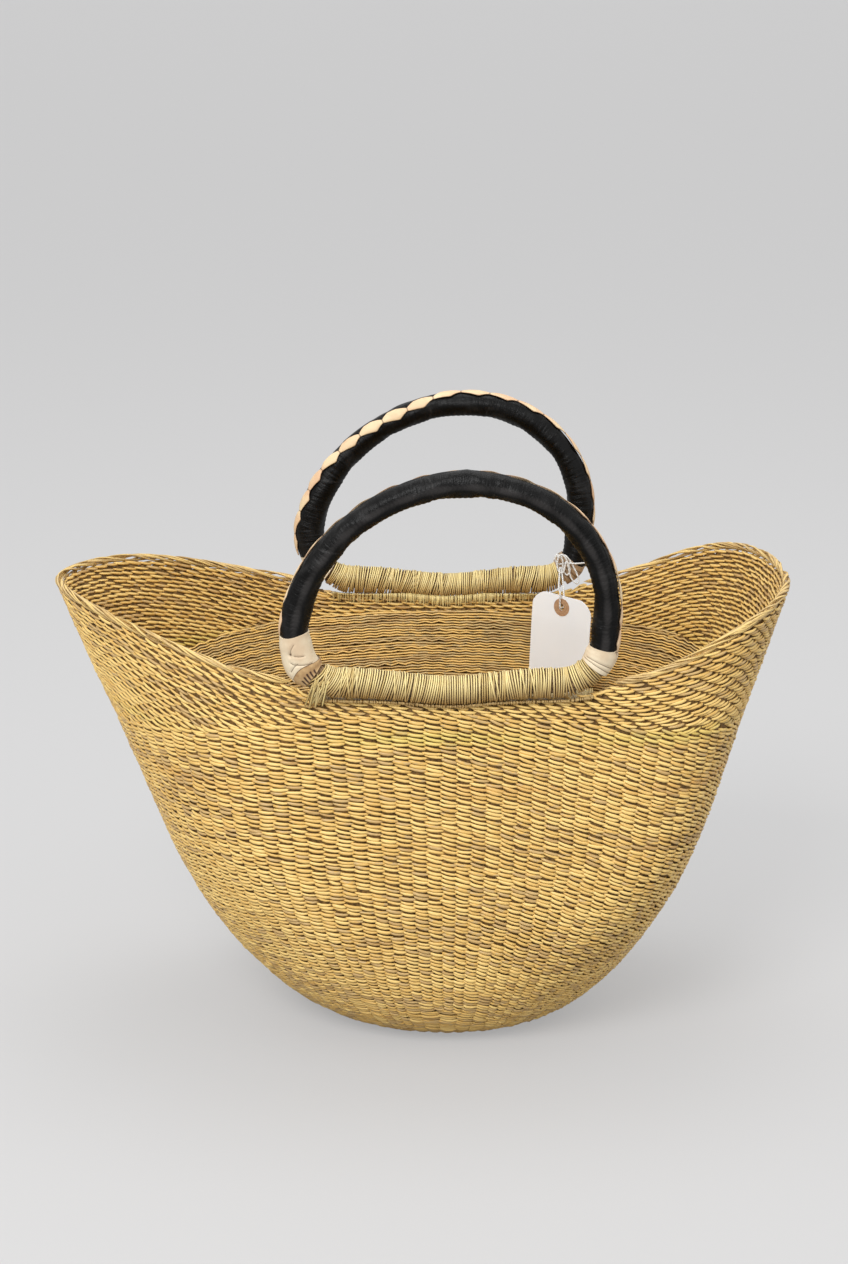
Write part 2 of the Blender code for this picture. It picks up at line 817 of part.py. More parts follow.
make_base(palette["straw"])
make_wall(palette["straw"])
make_flare("left_flare_weave", -1, palette["straw"])
make_flare("right_flare_weave", 1, palette["straw"])
make_rim("left_rim_border", -1, palette["pale_straw"])
make_rim("right_rim_border", 1, palette["pale_straw"])
make_handle(front_handle, palette)
make_handle(back_handle, palette)
make_tag(palette)
make_string(palette)
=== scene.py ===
"""Bolga basket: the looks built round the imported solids. Metres, +Z up, camera side -Y."""

import json
import math

import bmesh
import bpy
import numpy as np
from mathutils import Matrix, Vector

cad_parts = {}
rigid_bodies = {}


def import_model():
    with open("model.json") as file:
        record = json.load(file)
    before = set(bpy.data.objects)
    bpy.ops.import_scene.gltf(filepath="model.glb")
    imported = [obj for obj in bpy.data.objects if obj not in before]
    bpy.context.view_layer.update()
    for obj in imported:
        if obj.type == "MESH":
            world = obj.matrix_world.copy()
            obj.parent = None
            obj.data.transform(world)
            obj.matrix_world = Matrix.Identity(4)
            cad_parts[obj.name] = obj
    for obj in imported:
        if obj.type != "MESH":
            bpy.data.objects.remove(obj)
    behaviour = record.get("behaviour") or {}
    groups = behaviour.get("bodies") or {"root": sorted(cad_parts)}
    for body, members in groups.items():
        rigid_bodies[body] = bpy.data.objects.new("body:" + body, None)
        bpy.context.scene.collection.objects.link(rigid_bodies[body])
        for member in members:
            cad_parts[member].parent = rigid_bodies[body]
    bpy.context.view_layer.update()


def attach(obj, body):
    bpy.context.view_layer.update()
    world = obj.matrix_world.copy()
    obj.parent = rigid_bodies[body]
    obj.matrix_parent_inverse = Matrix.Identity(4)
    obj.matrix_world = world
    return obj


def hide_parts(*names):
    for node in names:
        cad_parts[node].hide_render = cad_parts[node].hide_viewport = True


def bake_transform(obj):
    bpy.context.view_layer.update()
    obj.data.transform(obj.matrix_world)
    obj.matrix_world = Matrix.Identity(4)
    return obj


for thing in list(bpy.data.objects):
    bpy.data.objects.remove(thing)
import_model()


# The camera and the light
# A pale grey floor under soft studio light, seen from a little above the mouth, with the middle
# of the two handles slightly to the right of the camera.

camera_height = 0.6875
camera_back = 1.5913
camera_across = -0.0153
aim_height = 0.2508
sensor_long_side = 36.0
photo_long_side = 1264
photo_focal_pixels = 2560.0

camera_data = bpy.data.cameras.new("camera")
camera_data.lens = sensor_long_side * photo_focal_pixels / photo_long_side
camera_data.sensor_width = sensor_long_side
camera = bpy.data.objects.new("camera", camera_data)
camera.location = (camera_across, -camera_back, camera_height)
camera.rotation_euler = (math.atan2(camera_back, camera_height - aim_height), 0.0, 0.0)
bpy.context.scene.collection.objects.link(camera)
bpy.context.scene.camera = camera
bpy.context.scene.view_settings.view_transform = "Standard"


class Reading:
    """A shader socket that takes part in sums: each sum adds a Math node."""

    def __init__(self, finish, socket):
        self.finish = finish
        self.socket = socket

    def sum(self, operation, first, second=0.0):
        return self.finish.node("ShaderNodeMath", {"operation": operation}, {0: first, 1: second})

    def __add__(self, other):
        return self.sum("ADD", self, other)

    def __sub__(self, other):
        return self.sum("SUBTRACT", self, other)

    def __rsub__(self, other):
        return self.sum("SUBTRACT", other, self)

    def __mul__(self, other):
        return self.sum("MULTIPLY", self, other)

    def __abs__(self):
        return self.sum("ABSOLUTE", self)

    def over(self, low, high):
        """0 below low and 1 above high, smoothly."""
        return self.finish.node("ShaderNodeMapRange", {"interpolation_type": "SMOOTHSTEP"},
                                {0: self, 1: low, 2: high, 3: 0.0, 4: 1.0})


class Finish:
    """A material that is built from shader nodes."""

    def __init__(self, name, **constants):
        self.material = bpy.data.materials.new(name)
        self.material.use_nodes = True
        self.tree = self.material.node_tree
        self.shader = self.tree.nodes["Principled BSDF"]
        for socket, value in constants.items():
            self.shader.inputs[socket.replace("_", " ")].default_value = value

    def node(self, kind, settings=None, inputs=None, output=0):
        """One new node. A ramp's stops come in order, and two at the same place make a step."""
        made = self.tree.nodes.new(kind)
        for setting, value in (settings or {}).items():
            if setting == "stops":
                for index, (place, colour) in enumerate(value):
                    if index > 1:
                        made.color_ramp.elements.new(place)
                    made.color_ramp.elements[index].position = place
                    made.color_ramp.elements[index].color = (*colour, 1.0)
            else:
                setattr(made, setting, value)
        for socket, value in (inputs or {}).items():
            self.set(made.inputs[socket], value)
        return Reading(self, made.outputs[output])

    def set(self, socket, value):
        if isinstance(value, Reading):
            self.tree.links.new(value.socket, socket)
        elif isinstance(value, tuple) and len(value) == 3 and socket.type == "RGBA":
            socket.default_value = (*value, 1.0)
        else:
            socket.default_value = value

    def feed(self, **inputs):
        for name, value in inputs.items():
            self.set(self.shader.inputs[name.replace("_", " ")], value)

    def mix(self, share, first, second):
        """A colour between two. The node's colour sockets are 6 and 7, and 2 on its way out."""
        return self.node("ShaderNodeMix", {"data_type": "RGBA"}, {0: share, 6: first, 7: second}, output=2)

    def shaded(self, colour, dark, low, high, share):
        """The colour, darker towards both sides of each straw: painted shade in the grooves between straws.
        """
        return self.mix(abs(self.attribute("side")).over(low, high) * share, colour, dark)

    def place(self, scale, source=None):
        """The object's own coordinates, or the source's, at this scale."""
        spot = source or self.node("ShaderNodeTexCoord", output=3)
        return self.node("ShaderNodeMapping", inputs={0: spot, 3: scale})

    def own_map(self, scale):
        return self.place(scale, self.node("ShaderNodeUVMap", {"uv_map": "OFBake"}))

    def noise(self, spot, scale, detail):
        return self.node("ShaderNodeTexNoise", inputs={"Vector": spot, "Scale": scale, "Detail": detail})

    def bump(self, height, strength, distance):
        return self.node("ShaderNodeBump", inputs={
            "Height": height, "Strength": strength, "Distance": distance})

    def attribute(self, name):
        """A value that the mesh carries by this name, as one number."""
        return self.node("ShaderNodeAttribute", {"attribute_name": name}, output=2)


def add_piece(name, data, finish):
    piece = bpy.data.objects.new(name, data)
    bpy.context.scene.collection.objects.link(piece)
    piece.data.materials.append(finish)
    return piece


floor_half = 60.0
floor_mesh = bpy.data.meshes.new("floor")
sweep = bmesh.new()
bmesh.ops.create_grid(sweep, x_segments=1, y_segments=1, size=floor_half)
sweep.to_mesh(floor_mesh)
sweep.free()
floor_finish = Finish("floor_paint", Roughness=0.9, Emission_Strength=1.0)
seen_directly = floor_finish.node("ShaderNodeLightPath")
floor_finish.feed(
    Base_Color=floor_finish.mix(seen_directly, (0.33, 0.33, 0.33), (0.26, 0.259, 0.26)),
    Emission_Color=floor_finish.mix(seen_directly, (0.0, 0.0, 0.0), (0.350, 0.349, 0.350)))
add_piece("floor", floor_mesh, floor_finish.material)

world = bpy.data.worlds.new("studio")
world.use_nodes = True
world.node_tree.nodes["Background"].inputs["Color"].default_value = (0.80, 0.80, 0.802, 1.0)
world.node_tree.nodes["Background"].inputs["Strength"].default_value = 1.0
bpy.context.scene.world = world

lamp_aim = Vector((0.0, 0.0, 0.2))
for name, place, size, power in (
        ("key", (-0.7, -1.9, 1.8), 1.0, 41.0),
        ("fill", (1.6, -1.4, 1.5), 1.8, 4.0),
        ("top", (0.1, 0.5, 2.4), 1.2, 14.0)):
    lamp_data = bpy.data.lights.new(name, "AREA")
    lamp_data.size = size
    lamp_data.energy = power
    lamp = bpy.data.objects.new(name, lamp_data)
    lamp.location = place
    lamp.rotation_euler = (lamp_aim - lamp.location).to_track_quat("-Z", "Y").to_euler()
    bpy.context.scene.collection.objects.link(lamp)


# The stakes
# Flat bundles of grass that stand in the wall from the middle of the base to the mouth. New ones
# are set in as the basket widens. The woven straws hide them, all but glimpses in the gaps.

wall_thickness = 0.006
base_left, base_right, base_half_depth = 0.066, 0.064, 0.058
bulge_left, bulge_right = 0.067, 0.0575
side_bulge_height, front_bulge_height = 0.115, 0.140
mouth_half_depth = 0.1267
reach_left, reach_right = 0.2525, 0.2185
straight_half, straight_height = 0.100, 0.160
left_round_shares, right_round_shares = (1.9, 1.7), (3.2, 2.0)
base_edge_height = 0.0125
rim_low_height, left_horn_height, right_horn_height = 0.2555, 0.2885, 0.2925
left_rise_start, right_rise_start = 0.075, 0.090
seam_height = 0.2335
rim_radius = 0.0026
hinge_height = 0.2517
winding_radius = 0.00875
bar_half, bar_sag, bar_lift = 0.060, 0.002, 0.003
fold_angle = math.radians(65)
seat_gap = 0.0003
beside_roll_x = (0.060, 0.072, 0.081, 0.087, 0.090, 0.093, 0.096, 0.099, 0.1)
beside_roll_heights = (0.2439, 0.2443, 0.2457, 0.2467, 0.2480, 0.2511, 0.2568, 0.2640, 1.0)
near_mouth = 0.24

stake_count = 120
stake_thickness, stake_usual_width, stake_widest_radius = 0.0014, 0.0082, 0.0065
stake_cover_share = 0.60
stake_step, stake_end_gap, stake_below_top = 0.006, 0.003, 0.0007
stake_points_up, stake_full_share = 27, 0.997
inner_births, outer_births = (0.016, 0.024), (0.030, 0.050)
wall_birth_start, wall_birth_spread = 0.004, 0.082
outline_steps = 48
random = np.random.default_rng(7)


def smooth(share):
    share = np.clip(share, 0.0, 1.0)
    return share * share * (3.0 - 2.0 * share)


def mix(first, second, share):
    return first + (second - first) * share


def unit(vectors):
    return vectors / np.maximum(np.linalg.norm(vectors, axis=-1, keepdims=True), 1e-12)


def run_along(points):
    """How far along its line each point lies."""
    return np.r_[0.0, np.cumsum(np.linalg.norm(np.diff(points, axis=0), axis=1))]


def read_line(places, runs, points, period=None):
    """The points of a line at these places along it."""
    return np.stack([np.interp(places, runs, points[:, axis], period=period) for axis in range(3)], -1)


def wall_place(turn, height):
    """Outer surface. turn runs 0 to 4 from the middle of the back by the right tip round to the left."""
    turn, height = np.broadcast_arrays(np.asarray(turn, float) % 4.0, np.asarray(height, float))
    quarter = np.floor(turn)
    share = turn - quarter
    share = np.where(quarter % 2 == 1, 1.0 - share, share)
    side = np.where(quarter < 2, 1.0, -1.0)
    face = np.where((quarter == 0) | (quarter == 3), 1.0, -1.0)
    left = side < 0
    low = np.where(left, base_left, base_right)
    bulge = np.where(left, bulge_left, bulge_right)
    reach = np.where(left, reach_left, reach_right)
    top = np.where(left, left_horn_height, right_horn_height)
    side_share = 1.0 - np.clip(height / side_bulge_height, 0.0, 1.0)
    front_share = 1.0 - np.clip(height / front_bulge_height, 0.0, 1.0)
    half_width = low + bulge * np.sqrt(1.0 - side_share ** 2) + (reach - low - bulge) * height / top
    half_depth = mix(base_half_depth, mouth_half_depth, np.sqrt(1.0 - front_share ** 2))
    grown = smooth(height / straight_height)
    straight = straight_half * grown
    along_power = 2.0 / mix(2.0, np.where(left, left_round_shares[0], right_round_shares[0]), grown)
    across_power = 2.0 / mix(2.0, np.where(left, left_round_shares[1], right_round_shares[1]), grown)
    angle = np.pi / 2.0 * (1.0 - np.arange(outline_steps + 1) / outline_steps)
    cosine = np.clip(np.cos(angle), 0.0, 1.0)
    sine = np.clip(np.sin(angle), 0.0, 1.0)
    x = straight[..., None] + (half_width - straight)[..., None] * cosine ** along_power[..., None]
    y = half_depth[..., None] * sine ** across_power[..., None]
    x = np.concatenate([np.zeros_like(x[..., :1]), x], -1)
    y = np.concatenate([half_depth[..., None], y], -1)
    lengths = np.cumsum(np.hypot(np.diff(x), np.diff(y)), -1)
    lengths = np.concatenate([np.zeros_like(lengths[..., :1]), lengths], -1)
    target = share * lengths[..., -1]
    index = np.clip((lengths < target[..., None]).sum(-1), 1, lengths.shape[-1] - 1)[..., None]

    def both_sides(values):
        return (np.take_along_axis(values, place, -1)[..., 0] for place in (index - 1, index))

    before, after = both_sides(lengths)
    part = np.clip((target - before) / np.maximum(after - before, 1e-9), 0.0, 1.0)
    return np.stack([side * mix(*both_sides(x), part), face * mix(*both_sides(y), part), height], -1)


def wall_frame(turn, height):
    """Middle of the wall, outward normal and upward direction in the surface."""
    small_turn, small_height = 0.004, 0.0005
    here = wall_place(turn, height)
    along = wall_place(turn + small_turn, height) - wall_place(turn - small_turn, height)
    low = np.maximum(height - small_height, 0.0)
    up = wall_place(turn, height + small_height) - wall_place(turn, low)
    normal = unit(np.cross(up, along))
    return here - normal * wall_thickness / 2.0, normal, unit(np.cross(along, normal))


def rim_height(x):
    start = np.where(x < 0, left_rise_start, right_rise_start)
    reach = np.where(x < 0, reach_left, reach_right)
    horn = np.where(x < 0, left_horn_height, right_horn_height)
    return mix(rim_low_height, horn, smooth((np.abs(x) - start) / (reach - start)))


def bar_height(x):
    """Height of a hoop's bar over its hinge line."""
    return mix(-bar_sag, bar_lift, smooth(np.abs(x) / bar_half))


def free_height(x):
    """How high the wall may stand and stay clear of a hoop through its whole fold."""
    lift = bar_height(x)
    seat = hinge_height + np.minimum(lift, lift * math.cos(fold_angle)) - winding_radius - seat_gap
    beside = np.interp(np.abs(x), beside_roll_x, beside_roll_heights)
    return np.where(np.abs(x) < bar_half, seat, beside)


def wall_top(x):
    """The top of the wall: level with the rim's underside, and lower where a hoop passes over it."""
    return np.minimum(rim_height(x) - 2.0 * rim_radius, free_height(x))


# Way up the wall from the edge of the base, taken midway between the front's and the side's
profile_top, profile_points = 0.30, 1201
profile_heights = profile_top * np.linspace(0.0, 1.0, profile_points) ** 2
profile_runs = sum(run_along(wall_place(np.full(profile_points, turn), profile_heights))
                   for turn in (1.0, 2.0)) / 2.0
base_run = (base_left + base_right + 2.0 * base_half_depth) / 4.0

# How far out from the middle of the base each stake begins
stake_births = np.zeros(stake_count)
for index in range(stake_count // 2):
    if index % 2:
        birth = base_run + wall_birth_start + wall_birth_spread * random.random()
    elif index % 4:
        birth = mix(*outer_births, random.random())
    elif index % 8:
        birth = mix(*inner_births, random.random())
    else:
        birth = 0.0
    stake_births[index] = stake_births[index + stake_count // 2] = birth


class Strand:
    """One straw: its points, radii, outward normals, values by name, and the row that it is part of."""

    def __init__(self, points, radii, normals, values, closed=False, row=None):
        self.points = points
        self.radii = np.array(radii)
        self.normals = normals
        self.values = values
        self.closed = closed
        self.row = row
        if closed:
            along = np.roll(points, -1, 0) - np.roll(points, 1, 0)
        else:
            along = np.gradient(points, axis=0)
            self.radii[0] = self.radii[-1] = 0.0
        self.ups = unit(np.cross(along, normals))


def straw_mesh(name, strands, finish, flat_share, sides=6):
    """Tubes along the strands, pressed flat against the surface they lie on."""
    curve = bpy.data.curves.new(name, "CURVE")
    curve.dimensions = "3D"
    curve.bevel_depth = 1.0
    curve.bevel_resolution = sides // 2 - 2
    for strand in strands:
        spline = curve.splines.new("POLY")
        spline.points.add(len(strand.points) - 1)
        spline.points.foreach_set("co", np.c_[strand.points, np.ones(len(strand.points))].ravel())
        spline.points.foreach_set("radius", strand.radii)
        spline.use_cyclic_u = strand.closed
    guide = bpy.data.objects.new(name + "_guide", curve)
    bpy.context.scene.collection.objects.link(guide)
    graph = bpy.context.evaluated_depsgraph_get()
    mesh = bpy.data.meshes.new_from_object(guide.evaluated_get(graph))
    bpy.data.objects.remove(guide)
    mesh.name = name

    def on_rings(values):
        return np.repeat(np.concatenate(values), sides, 0)

    normals = on_rings([strand.normals for strand in strands])
    radii = on_rings([strand.radii for strand in strands])
    centres = on_rings([strand.points for strand in strands])
    places = np.empty(len(mesh.vertices) * 3, np.float32)
    mesh.vertices.foreach_get("co", places)
    offset = places.reshape(-1, 3) - centres
    side = (offset * on_rings([strand.ups for strand in strands])).sum(-1) / np.maximum(radii, 1e-6)
    offset -= normals * ((offset * normals).sum(-1) * (1.0 - flat_share))[:, None]
    mesh.vertices.foreach_set("co", (centres + offset).astype(np.float32).ravel())
    layers = {key: on_rings([strand.values[key] for strand in strands]) for key in strands[0].values}
    layers["side"] = side
    for key, values in layers.items():
        mesh.attributes.new(key, "FLOAT", "POINT").data.foreach_set("value", values.astype(np.float32))
    spread_map(mesh, strands, sides)
    mesh.shade_smooth()
    return add_piece(name, mesh, finish.material)


strip_margin, strip_share = 0.08, 0.84


def spread_map(mesh, strands, sides):
    """Strips of the map, u along each straw and v round it. The straws of one row share a strip."""
    strips = {}
    ring_u, ring_end, ring_strip, first, last = [], [], [], [], []
    for strand in strands:
        steps = np.linalg.norm(np.diff(strand.points, axis=0), axis=1)
        key = strand.row if strand.row is not None else ("own", len(ring_u))
        strip, start = strips.get(key, (len(strips), 0.0))
        run = start + np.r_[0.0, np.cumsum(steps)]
        strips[key] = (strip, run[-1] + steps[0])
        ring_u.append(run)
        ring_end.append(np.full(len(run), run[-1] + steps[0]))
        ring_strip.append(np.full(len(run), strip))
        first.append(np.arange(len(run)) == 0)
        last.append(np.arange(len(run)) == len(run) - 1)
    ring_u, ring_end, ring_strip, first, last = (
        np.concatenate(part) for part in (ring_u, ring_end, ring_strip, first, last))
    corners = np.empty(len(mesh.loops), np.int32)
    mesh.loops.foreach_get("vertex_index", corners)
    sizes = np.empty(len(mesh.polygons), np.int32)
    mesh.polygons.foreach_get("loop_total", sizes)
    face = np.repeat(np.arange(len(sizes)), sizes)
    ring, around = np.divmod(corners, sides)

    def touches(corner_mask):
        faces = np.zeros(len(sizes), bool)
        np.logical_or.at(faces, face, corner_mask)
        return faces[face]

    u = np.where(touches(last[ring]) & touches(first[ring]) & first[ring], ring_end[ring], ring_u[ring])
    seam = touches(around == sides - 1) & touches(around == 0) & (around == 0)
    v = np.where(seam, sides, around)
    v = (ring_strip[ring] + strip_margin + strip_share * v / sides) / len(strips)
    mesh.uv_layers.new(name="OFBake")
    mesh.uv_layers["OFBake"].data.foreach_set("uv", np.c_[u / ring_end.max(), v].astype(np.float32).ravel())


# The stakes' dark brown is partly their own colour and partly painted shade for the gaps between stitches,
# where they show through.
stake_finish = Finish("stake_grass", Roughness=0.8)
blades = stake_finish.noise(stake_finish.place((500.0, 500.0, 30.0)), 1.0, 2.0)
stake_finish.feed(
    Base_Color=stake_finish.mix(blades.over(0.3, 0.7), (0.10, 0.050, 0.010), (0.26, 0.145, 0.040)),
    Normal=stake_finish.bump(blades, 0.4, 0.0004))

# Each stake's last point but one lies close under its top, so that only the very end narrows
look_aside = 0.01
stake_strands = []
for index in range(stake_count):
    turn = 4.0 * index / stake_count
    runs = np.arange(max(stake_births[index], stake_end_gap), base_run - stake_end_gap, stake_step)
    edge = wall_place(turn, 0.0)
    points = np.outer(runs / base_run, edge) + (0.0, 0.0, wall_thickness / 2.0)
    normals = np.tile((0.0, 0.0, -1.0), (len(runs), 1))
    top = near_mouth
    for _ in range(5):
        top = float(wall_top(wall_place(turn, top)[0])) - stake_below_top
    first_height = np.interp(max(stake_births[index] - base_run, 0.0), profile_runs, profile_heights)
    share = np.linspace(math.sqrt(first_height / top), 1.0, stake_points_up - 1) ** 2
    share = np.r_[stake_full_share * share, 1.0]
    middle, normal, up = wall_frame(np.full(stake_points_up, turn), top * share)
    points = np.concatenate([points, middle])
    normals = np.concatenate([normals, normal])
    runs = np.concatenate([runs, base_run + np.interp(top * share, profile_heights, profile_runs)])
    births = (stake_births[None, :] <= runs[:, None] + 0.002).sum(1)
    reach = np.minimum(runs / base_run, 1.0)
    beside = wall_place(turn + look_aside, points[:, 2]) - wall_place(turn - look_aside, points[:, 2])
    radii = stake_cover_share * np.linalg.norm(beside, axis=1) * reach * (2.0 / look_aside) / births
    stake_strands.append(Strand(points, np.minimum(radii, stake_widest_radius), normals, {}))
stakes = straw_mesh("stakes", stake_strands, stake_finish, stake_thickness / stake_usual_width)
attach(stakes, "basket")


# The twined weave
# Two straws run round together and change places between the stakes. Outside they show as rows of
# slanting golden lenses, inside as closer rows of thin wavy cords that have browned a little.

row_pitch = 0.00275
straw_half_width = 0.00112
straw_flat_share = 0.72
straw_reach = 0.00185
stitch_rise = 0.00098
stitch_bend = 0.22
straw_stretch = 18
stitch_parts = np.array((-0.66, -0.47, -0.17, 0.17, 0.47, 0.66))
stitch_widths = np.array((0.0, 0.84, 1.0, 1.0, 0.84, 0.0))
stitch_depths = np.array((0.20, 0.74, 1.0, 1.0, 0.74, 0.20))
stitch_bow = 0.00135
stretch_shake, tilt_shake, width_shake = 0.06, 0.22, 0.10
lift_shake, depth_shake, stake_shake = 0.00027, 0.00014, 0.0022
# How much darker the stitches are made low on the wall, as painted shade where it curves under, and by the
# mouth.
low_painted_shade, mouth_darkening = 0.17, 0.12

inner_pitch = 0.0019
inner_half_width = 0.00084
inner_flat_share = 0.80
inner_depth = 0.00215
inner_wave = 0.00034
inner_wander = 0.00013
inner_width_shake = 0.12

drift_waves = ((3, 40.0), (9, 95.0), (17, 60.0), (31, 150.0))
row_drift, row_swell = 0.0008, 0.0005
horn_droop = 0.27
seam_clearance = 0.3
base_cord_height = 0.012
green_height, green_width = 0.219, 0.006
red_height, red_width = 0.186, 0.004

course_steps = 480
course_turns = np.linspace(0.0, 4.0, course_steps + 1)
front_index = course_steps // 2
climb_top, climb_points = 0.31, 161
climb_heights = climb_top * np.linspace(0.0, 1.0, climb_points) ** 2
climb_steps = np.diff(wall_place(course_turns[:, None], climb_heights), axis=1)
climb_runs = np.zeros((len(course_turns), len(climb_heights)))
climb_runs[:, 1:] = np.cumsum(np.linalg.norm(climb_steps, axis=2), axis=1)


def drift(turn, height, size, seed):
    """A slow unevenness of hand work, the same for rows that touch."""
    waves = 0.0
    for index, (round_count, rise) in enumerate(drift_waves):
        waves = waves + np.sin(np.pi / 2.0 * round_count * turn + rise * height
                               + 1.7 * index * seed + seed) / (1.0 + 0.4 * index)
    return size * waves / 2.2


def heights_after(climb):
    """The height all round at this distance up the wall from the edge of the base."""
    return np.array([np.interp(climb, runs, climb_heights) for runs in climb_runs])


def course_heights(run):
    """A row's height all round. It climbs evenly, and lies a little lower towards the two horns."""
    even = heights_after(run - base_run)
    front = even[front_index]
    place = wall_place(course_turns, front)
    lower = horn_droop * (np.abs(place[front_index, 1]) - np.abs(place[:, 1]))
    return mix(even, front - lower, 0.5 * smooth((front - 0.02) / 0.08))


def body_course(run):
    """The line of a row this far from the middle of the base: middle, normal, upward direction."""
    if run <= base_run:
        middle = wall_place(course_turns, 0.0) * run / base_run + (0.0, 0.0, wall_thickness / 2.0)
        normal = np.tile((0.0, 0.0, -1.0), (len(course_turns), 1))
        return middle, normal, unit(wall_place(course_turns, 0.0))
    even = course_heights(run)
    heights = even + drift(course_turns, even, row_drift, 1.0) * np.minimum(even / 0.02, 1.0)
    middle, normal, up = wall_frame(course_turns, np.maximum(heights, 0.0))
    swell = drift(course_turns, heights, row_swell, 2.3) * np.minimum(even / 0.03, 1.0)
    return middle + normal * swell[:, None], normal, up


def at_turns(lines, turn):
    """These lines of a course, read at other turns."""
    return [read_line(turn, course_turns, line, 4.0) for line in lines]


def colour_band(turn, height):
    """Straws of other bundles, in patches: greener along one band, redder along a lower one."""
    patch = 0.5 + 0.5 * np.sin(3.1 * turn + 0.9) * np.sin(7.3 * turn + 55.0 * height)
    green = math.exp(-((height - green_height) / green_width) ** 2)
    red = math.exp(-((height - red_height) / red_width) ** 2)
    return 0.5 + 0.5 * patch * green - 0.5 * (1.0 - patch) * red


def row_of_stitches(row, course, turns, kept, face, rise, half_width, bend=stitch_bend):
    """The stitches of one row on one face of the wall, each a lens that slants over its stake."""
    count = len(turns)
    before = (turns - np.roll(turns, 1)) % 4.0
    after = (np.roll(turns, -1) - turns) % 4.0
    gap = np.where(stitch_parts < 0.0, before[:, None], after[:, None])
    stretch = 1.0 + stretch_shake * random.standard_normal((count, 1))
    middle, normal, up = at_turns(course, turns[:, None] + gap * stitch_parts * stretch)
    normal = unit(normal) * face
    slant = 2.0 * stitch_parts * face
    tilt = rise * (1.0 + tilt_shake * random.standard_normal((count, 1)))
    lift = tilt * slant + stitch_bow * bend * (slant ** 2 - 0.33)
    lift = lift + lift_shake * random.standard_normal((count, 1))
    depth = straw_reach * stitch_depths + depth_shake * random.standard_normal((count, 1))
    points = middle + normal * depth[..., None] + up * lift[..., None]
    radii = half_width * stitch_widths * (1.0 + width_shake * random.standard_normal((count, 1)))
    batch = random.random((2, count // straw_stretch + 2))
    made = []
    for index in np.flatnonzero(kept):
        straw_tone = batch[index % 2, (index + 7 * (index % 2)) // straw_stretch]
        height = points[index, :, 2].mean()
        # Darker towards the bottom, painted shade where the wall curves under, and darker towards the mouth.
        height_darkening = low_painted_shade * (1.0 - smooth((height - 0.03) / 0.09)) + mouth_darkening * smooth((height - 0.235) / 0.03)
        tone = 0.5 * straw_tone + 0.5 * random.random() - height_darkening
        values = {"tone": np.full(len(stitch_parts), tone),
                  "band": np.full(len(stitch_parts), colour_band(turns[index], height))}
        made.append(Strand(points[index], radii[index], normal[index], values, row=row))
    return made


def stake_turns(run):
    """Where the stakes stand that reach this far out, each a little off its even place."""
    standing = 4.0 * np.flatnonzero(stake_births <= run) / stake_count
    return standing + stake_shake * random.standard_normal(len(standing))


def kept_runs(kept):
    """The unbroken runs of a ring of flags, as lists of places."""
    if kept.all() or not kept.any():
        return []
    order = (np.arange(len(kept)) + int(np.argmin(kept))) % len(kept)
    runs = np.split(order, np.flatnonzero(np.diff(kept[order].astype(int))) + 1)
    return [run for run in runs if kept[run[0]] and len(run) > 3]


def inner_cord(course, kept, count):
    """One thin cord on the inner face. It waves in and out past the stakes."""
    turns = 4.0 * np.arange(count) / count
    middle, normal, up = at_turns(course, turns)
    swing = np.where(np.arange(count) % 2, 1.0, -1.0)
    knots = np.linspace(0.0, count - 1.0, count // 7)
    wander = np.interp(np.arange(count), knots, inner_wander * random.standard_normal(len(knots)))
    shift = inner_wave * swing * (1.0 + 1.5 * wander / 0.0004) + wander
    points = middle - unit(normal) * (inner_depth + 0.8 * inner_wave * swing)[:, None] + up * shift[:, None]
    radii = inner_half_width * (1.0 + inner_width_shake * random.standard_normal(count))
    values = {"tone": np.interp(np.arange(count), knots, random.random(len(knots)))}
    if kept.all():
        return [Strand(points, radii, -normal, values, closed=True)]
    return [Strand(points[run], radii[run], -normal[run], {"tone": values["tone"][run]})
            for run in kept_runs(np.interp(turns, course_turns, kept) > 0.5)]


straw = Finish("golden_straw", Roughness=0.40)
side, tone, band = straw.attribute("side"), straw.attribute("tone"), straw.attribute("band")
patches = straw.noise(straw.place((14.0, 14.0, 26.0)), 1.0, 3.0)
streaks = straw.noise(straw.place((90.0, 90.0, 500.0)), 1.0, 2.0)
straw_tones = ((0.0, (0.46, 0.24, 0.050)), (0.35, (0.649, 0.443, 0.183)), (0.35, (0.74, 0.45, 0.12)),
               (0.65, (0.92, 0.64, 0.22)))
fresh = straw.node("ShaderNodeValToRGB", {"stops": straw_tones},
                   {0: tone * 0.62 + streaks * 0.55 + patches * 0.42 - 0.27})
green = straw.mix(band.over(0.55, 1.0) * 0.5, fresh, (0.68, 0.58, 0.12))
red = straw.mix((1.0 - band).over(0.55, 1.0) * 0.5, green, (0.66, 0.33, 0.085))
rusty = straw.mix(tone.over(0.93, 0.97) * 0.5, red, (0.55, 0.28, 0.08))
# Painted shade: the lower side of each stitch is darkened towards brown, as under light from above.
straw.feed(
    Base_Color=straw.mix((side * -1.0).over(0.25, 0.95) * 0.75, rusty, (0.20, 0.095, 0.012)),
    Normal=straw.bump(streaks, 0.25, 0.0004))

inner_straw = Finish("inner_straw", Roughness=0.45)
inner_streaks = inner_straw.noise(inner_straw.place((120.0, 120.0, 420.0)), 1.0, 2.0)
inner_colour = inner_straw.node("ShaderNodeValToRGB", {"stops": (
    (0.0, (0.52, 0.28, 0.075)), (0.5, (0.76, 0.56, 0.2475)), (0.5, (0.97, 0.64, 0.21)))},
    {0: inner_straw.attribute("tone") * 0.65 + inner_streaks * 0.7 - 0.15})
# Painted shade in the grooves between the cords.
inner_straw.feed(Base_Color=inner_straw.shaded(inner_colour, (0.13, 0.06, 0.010), 0.25, 0.9, 0.8))


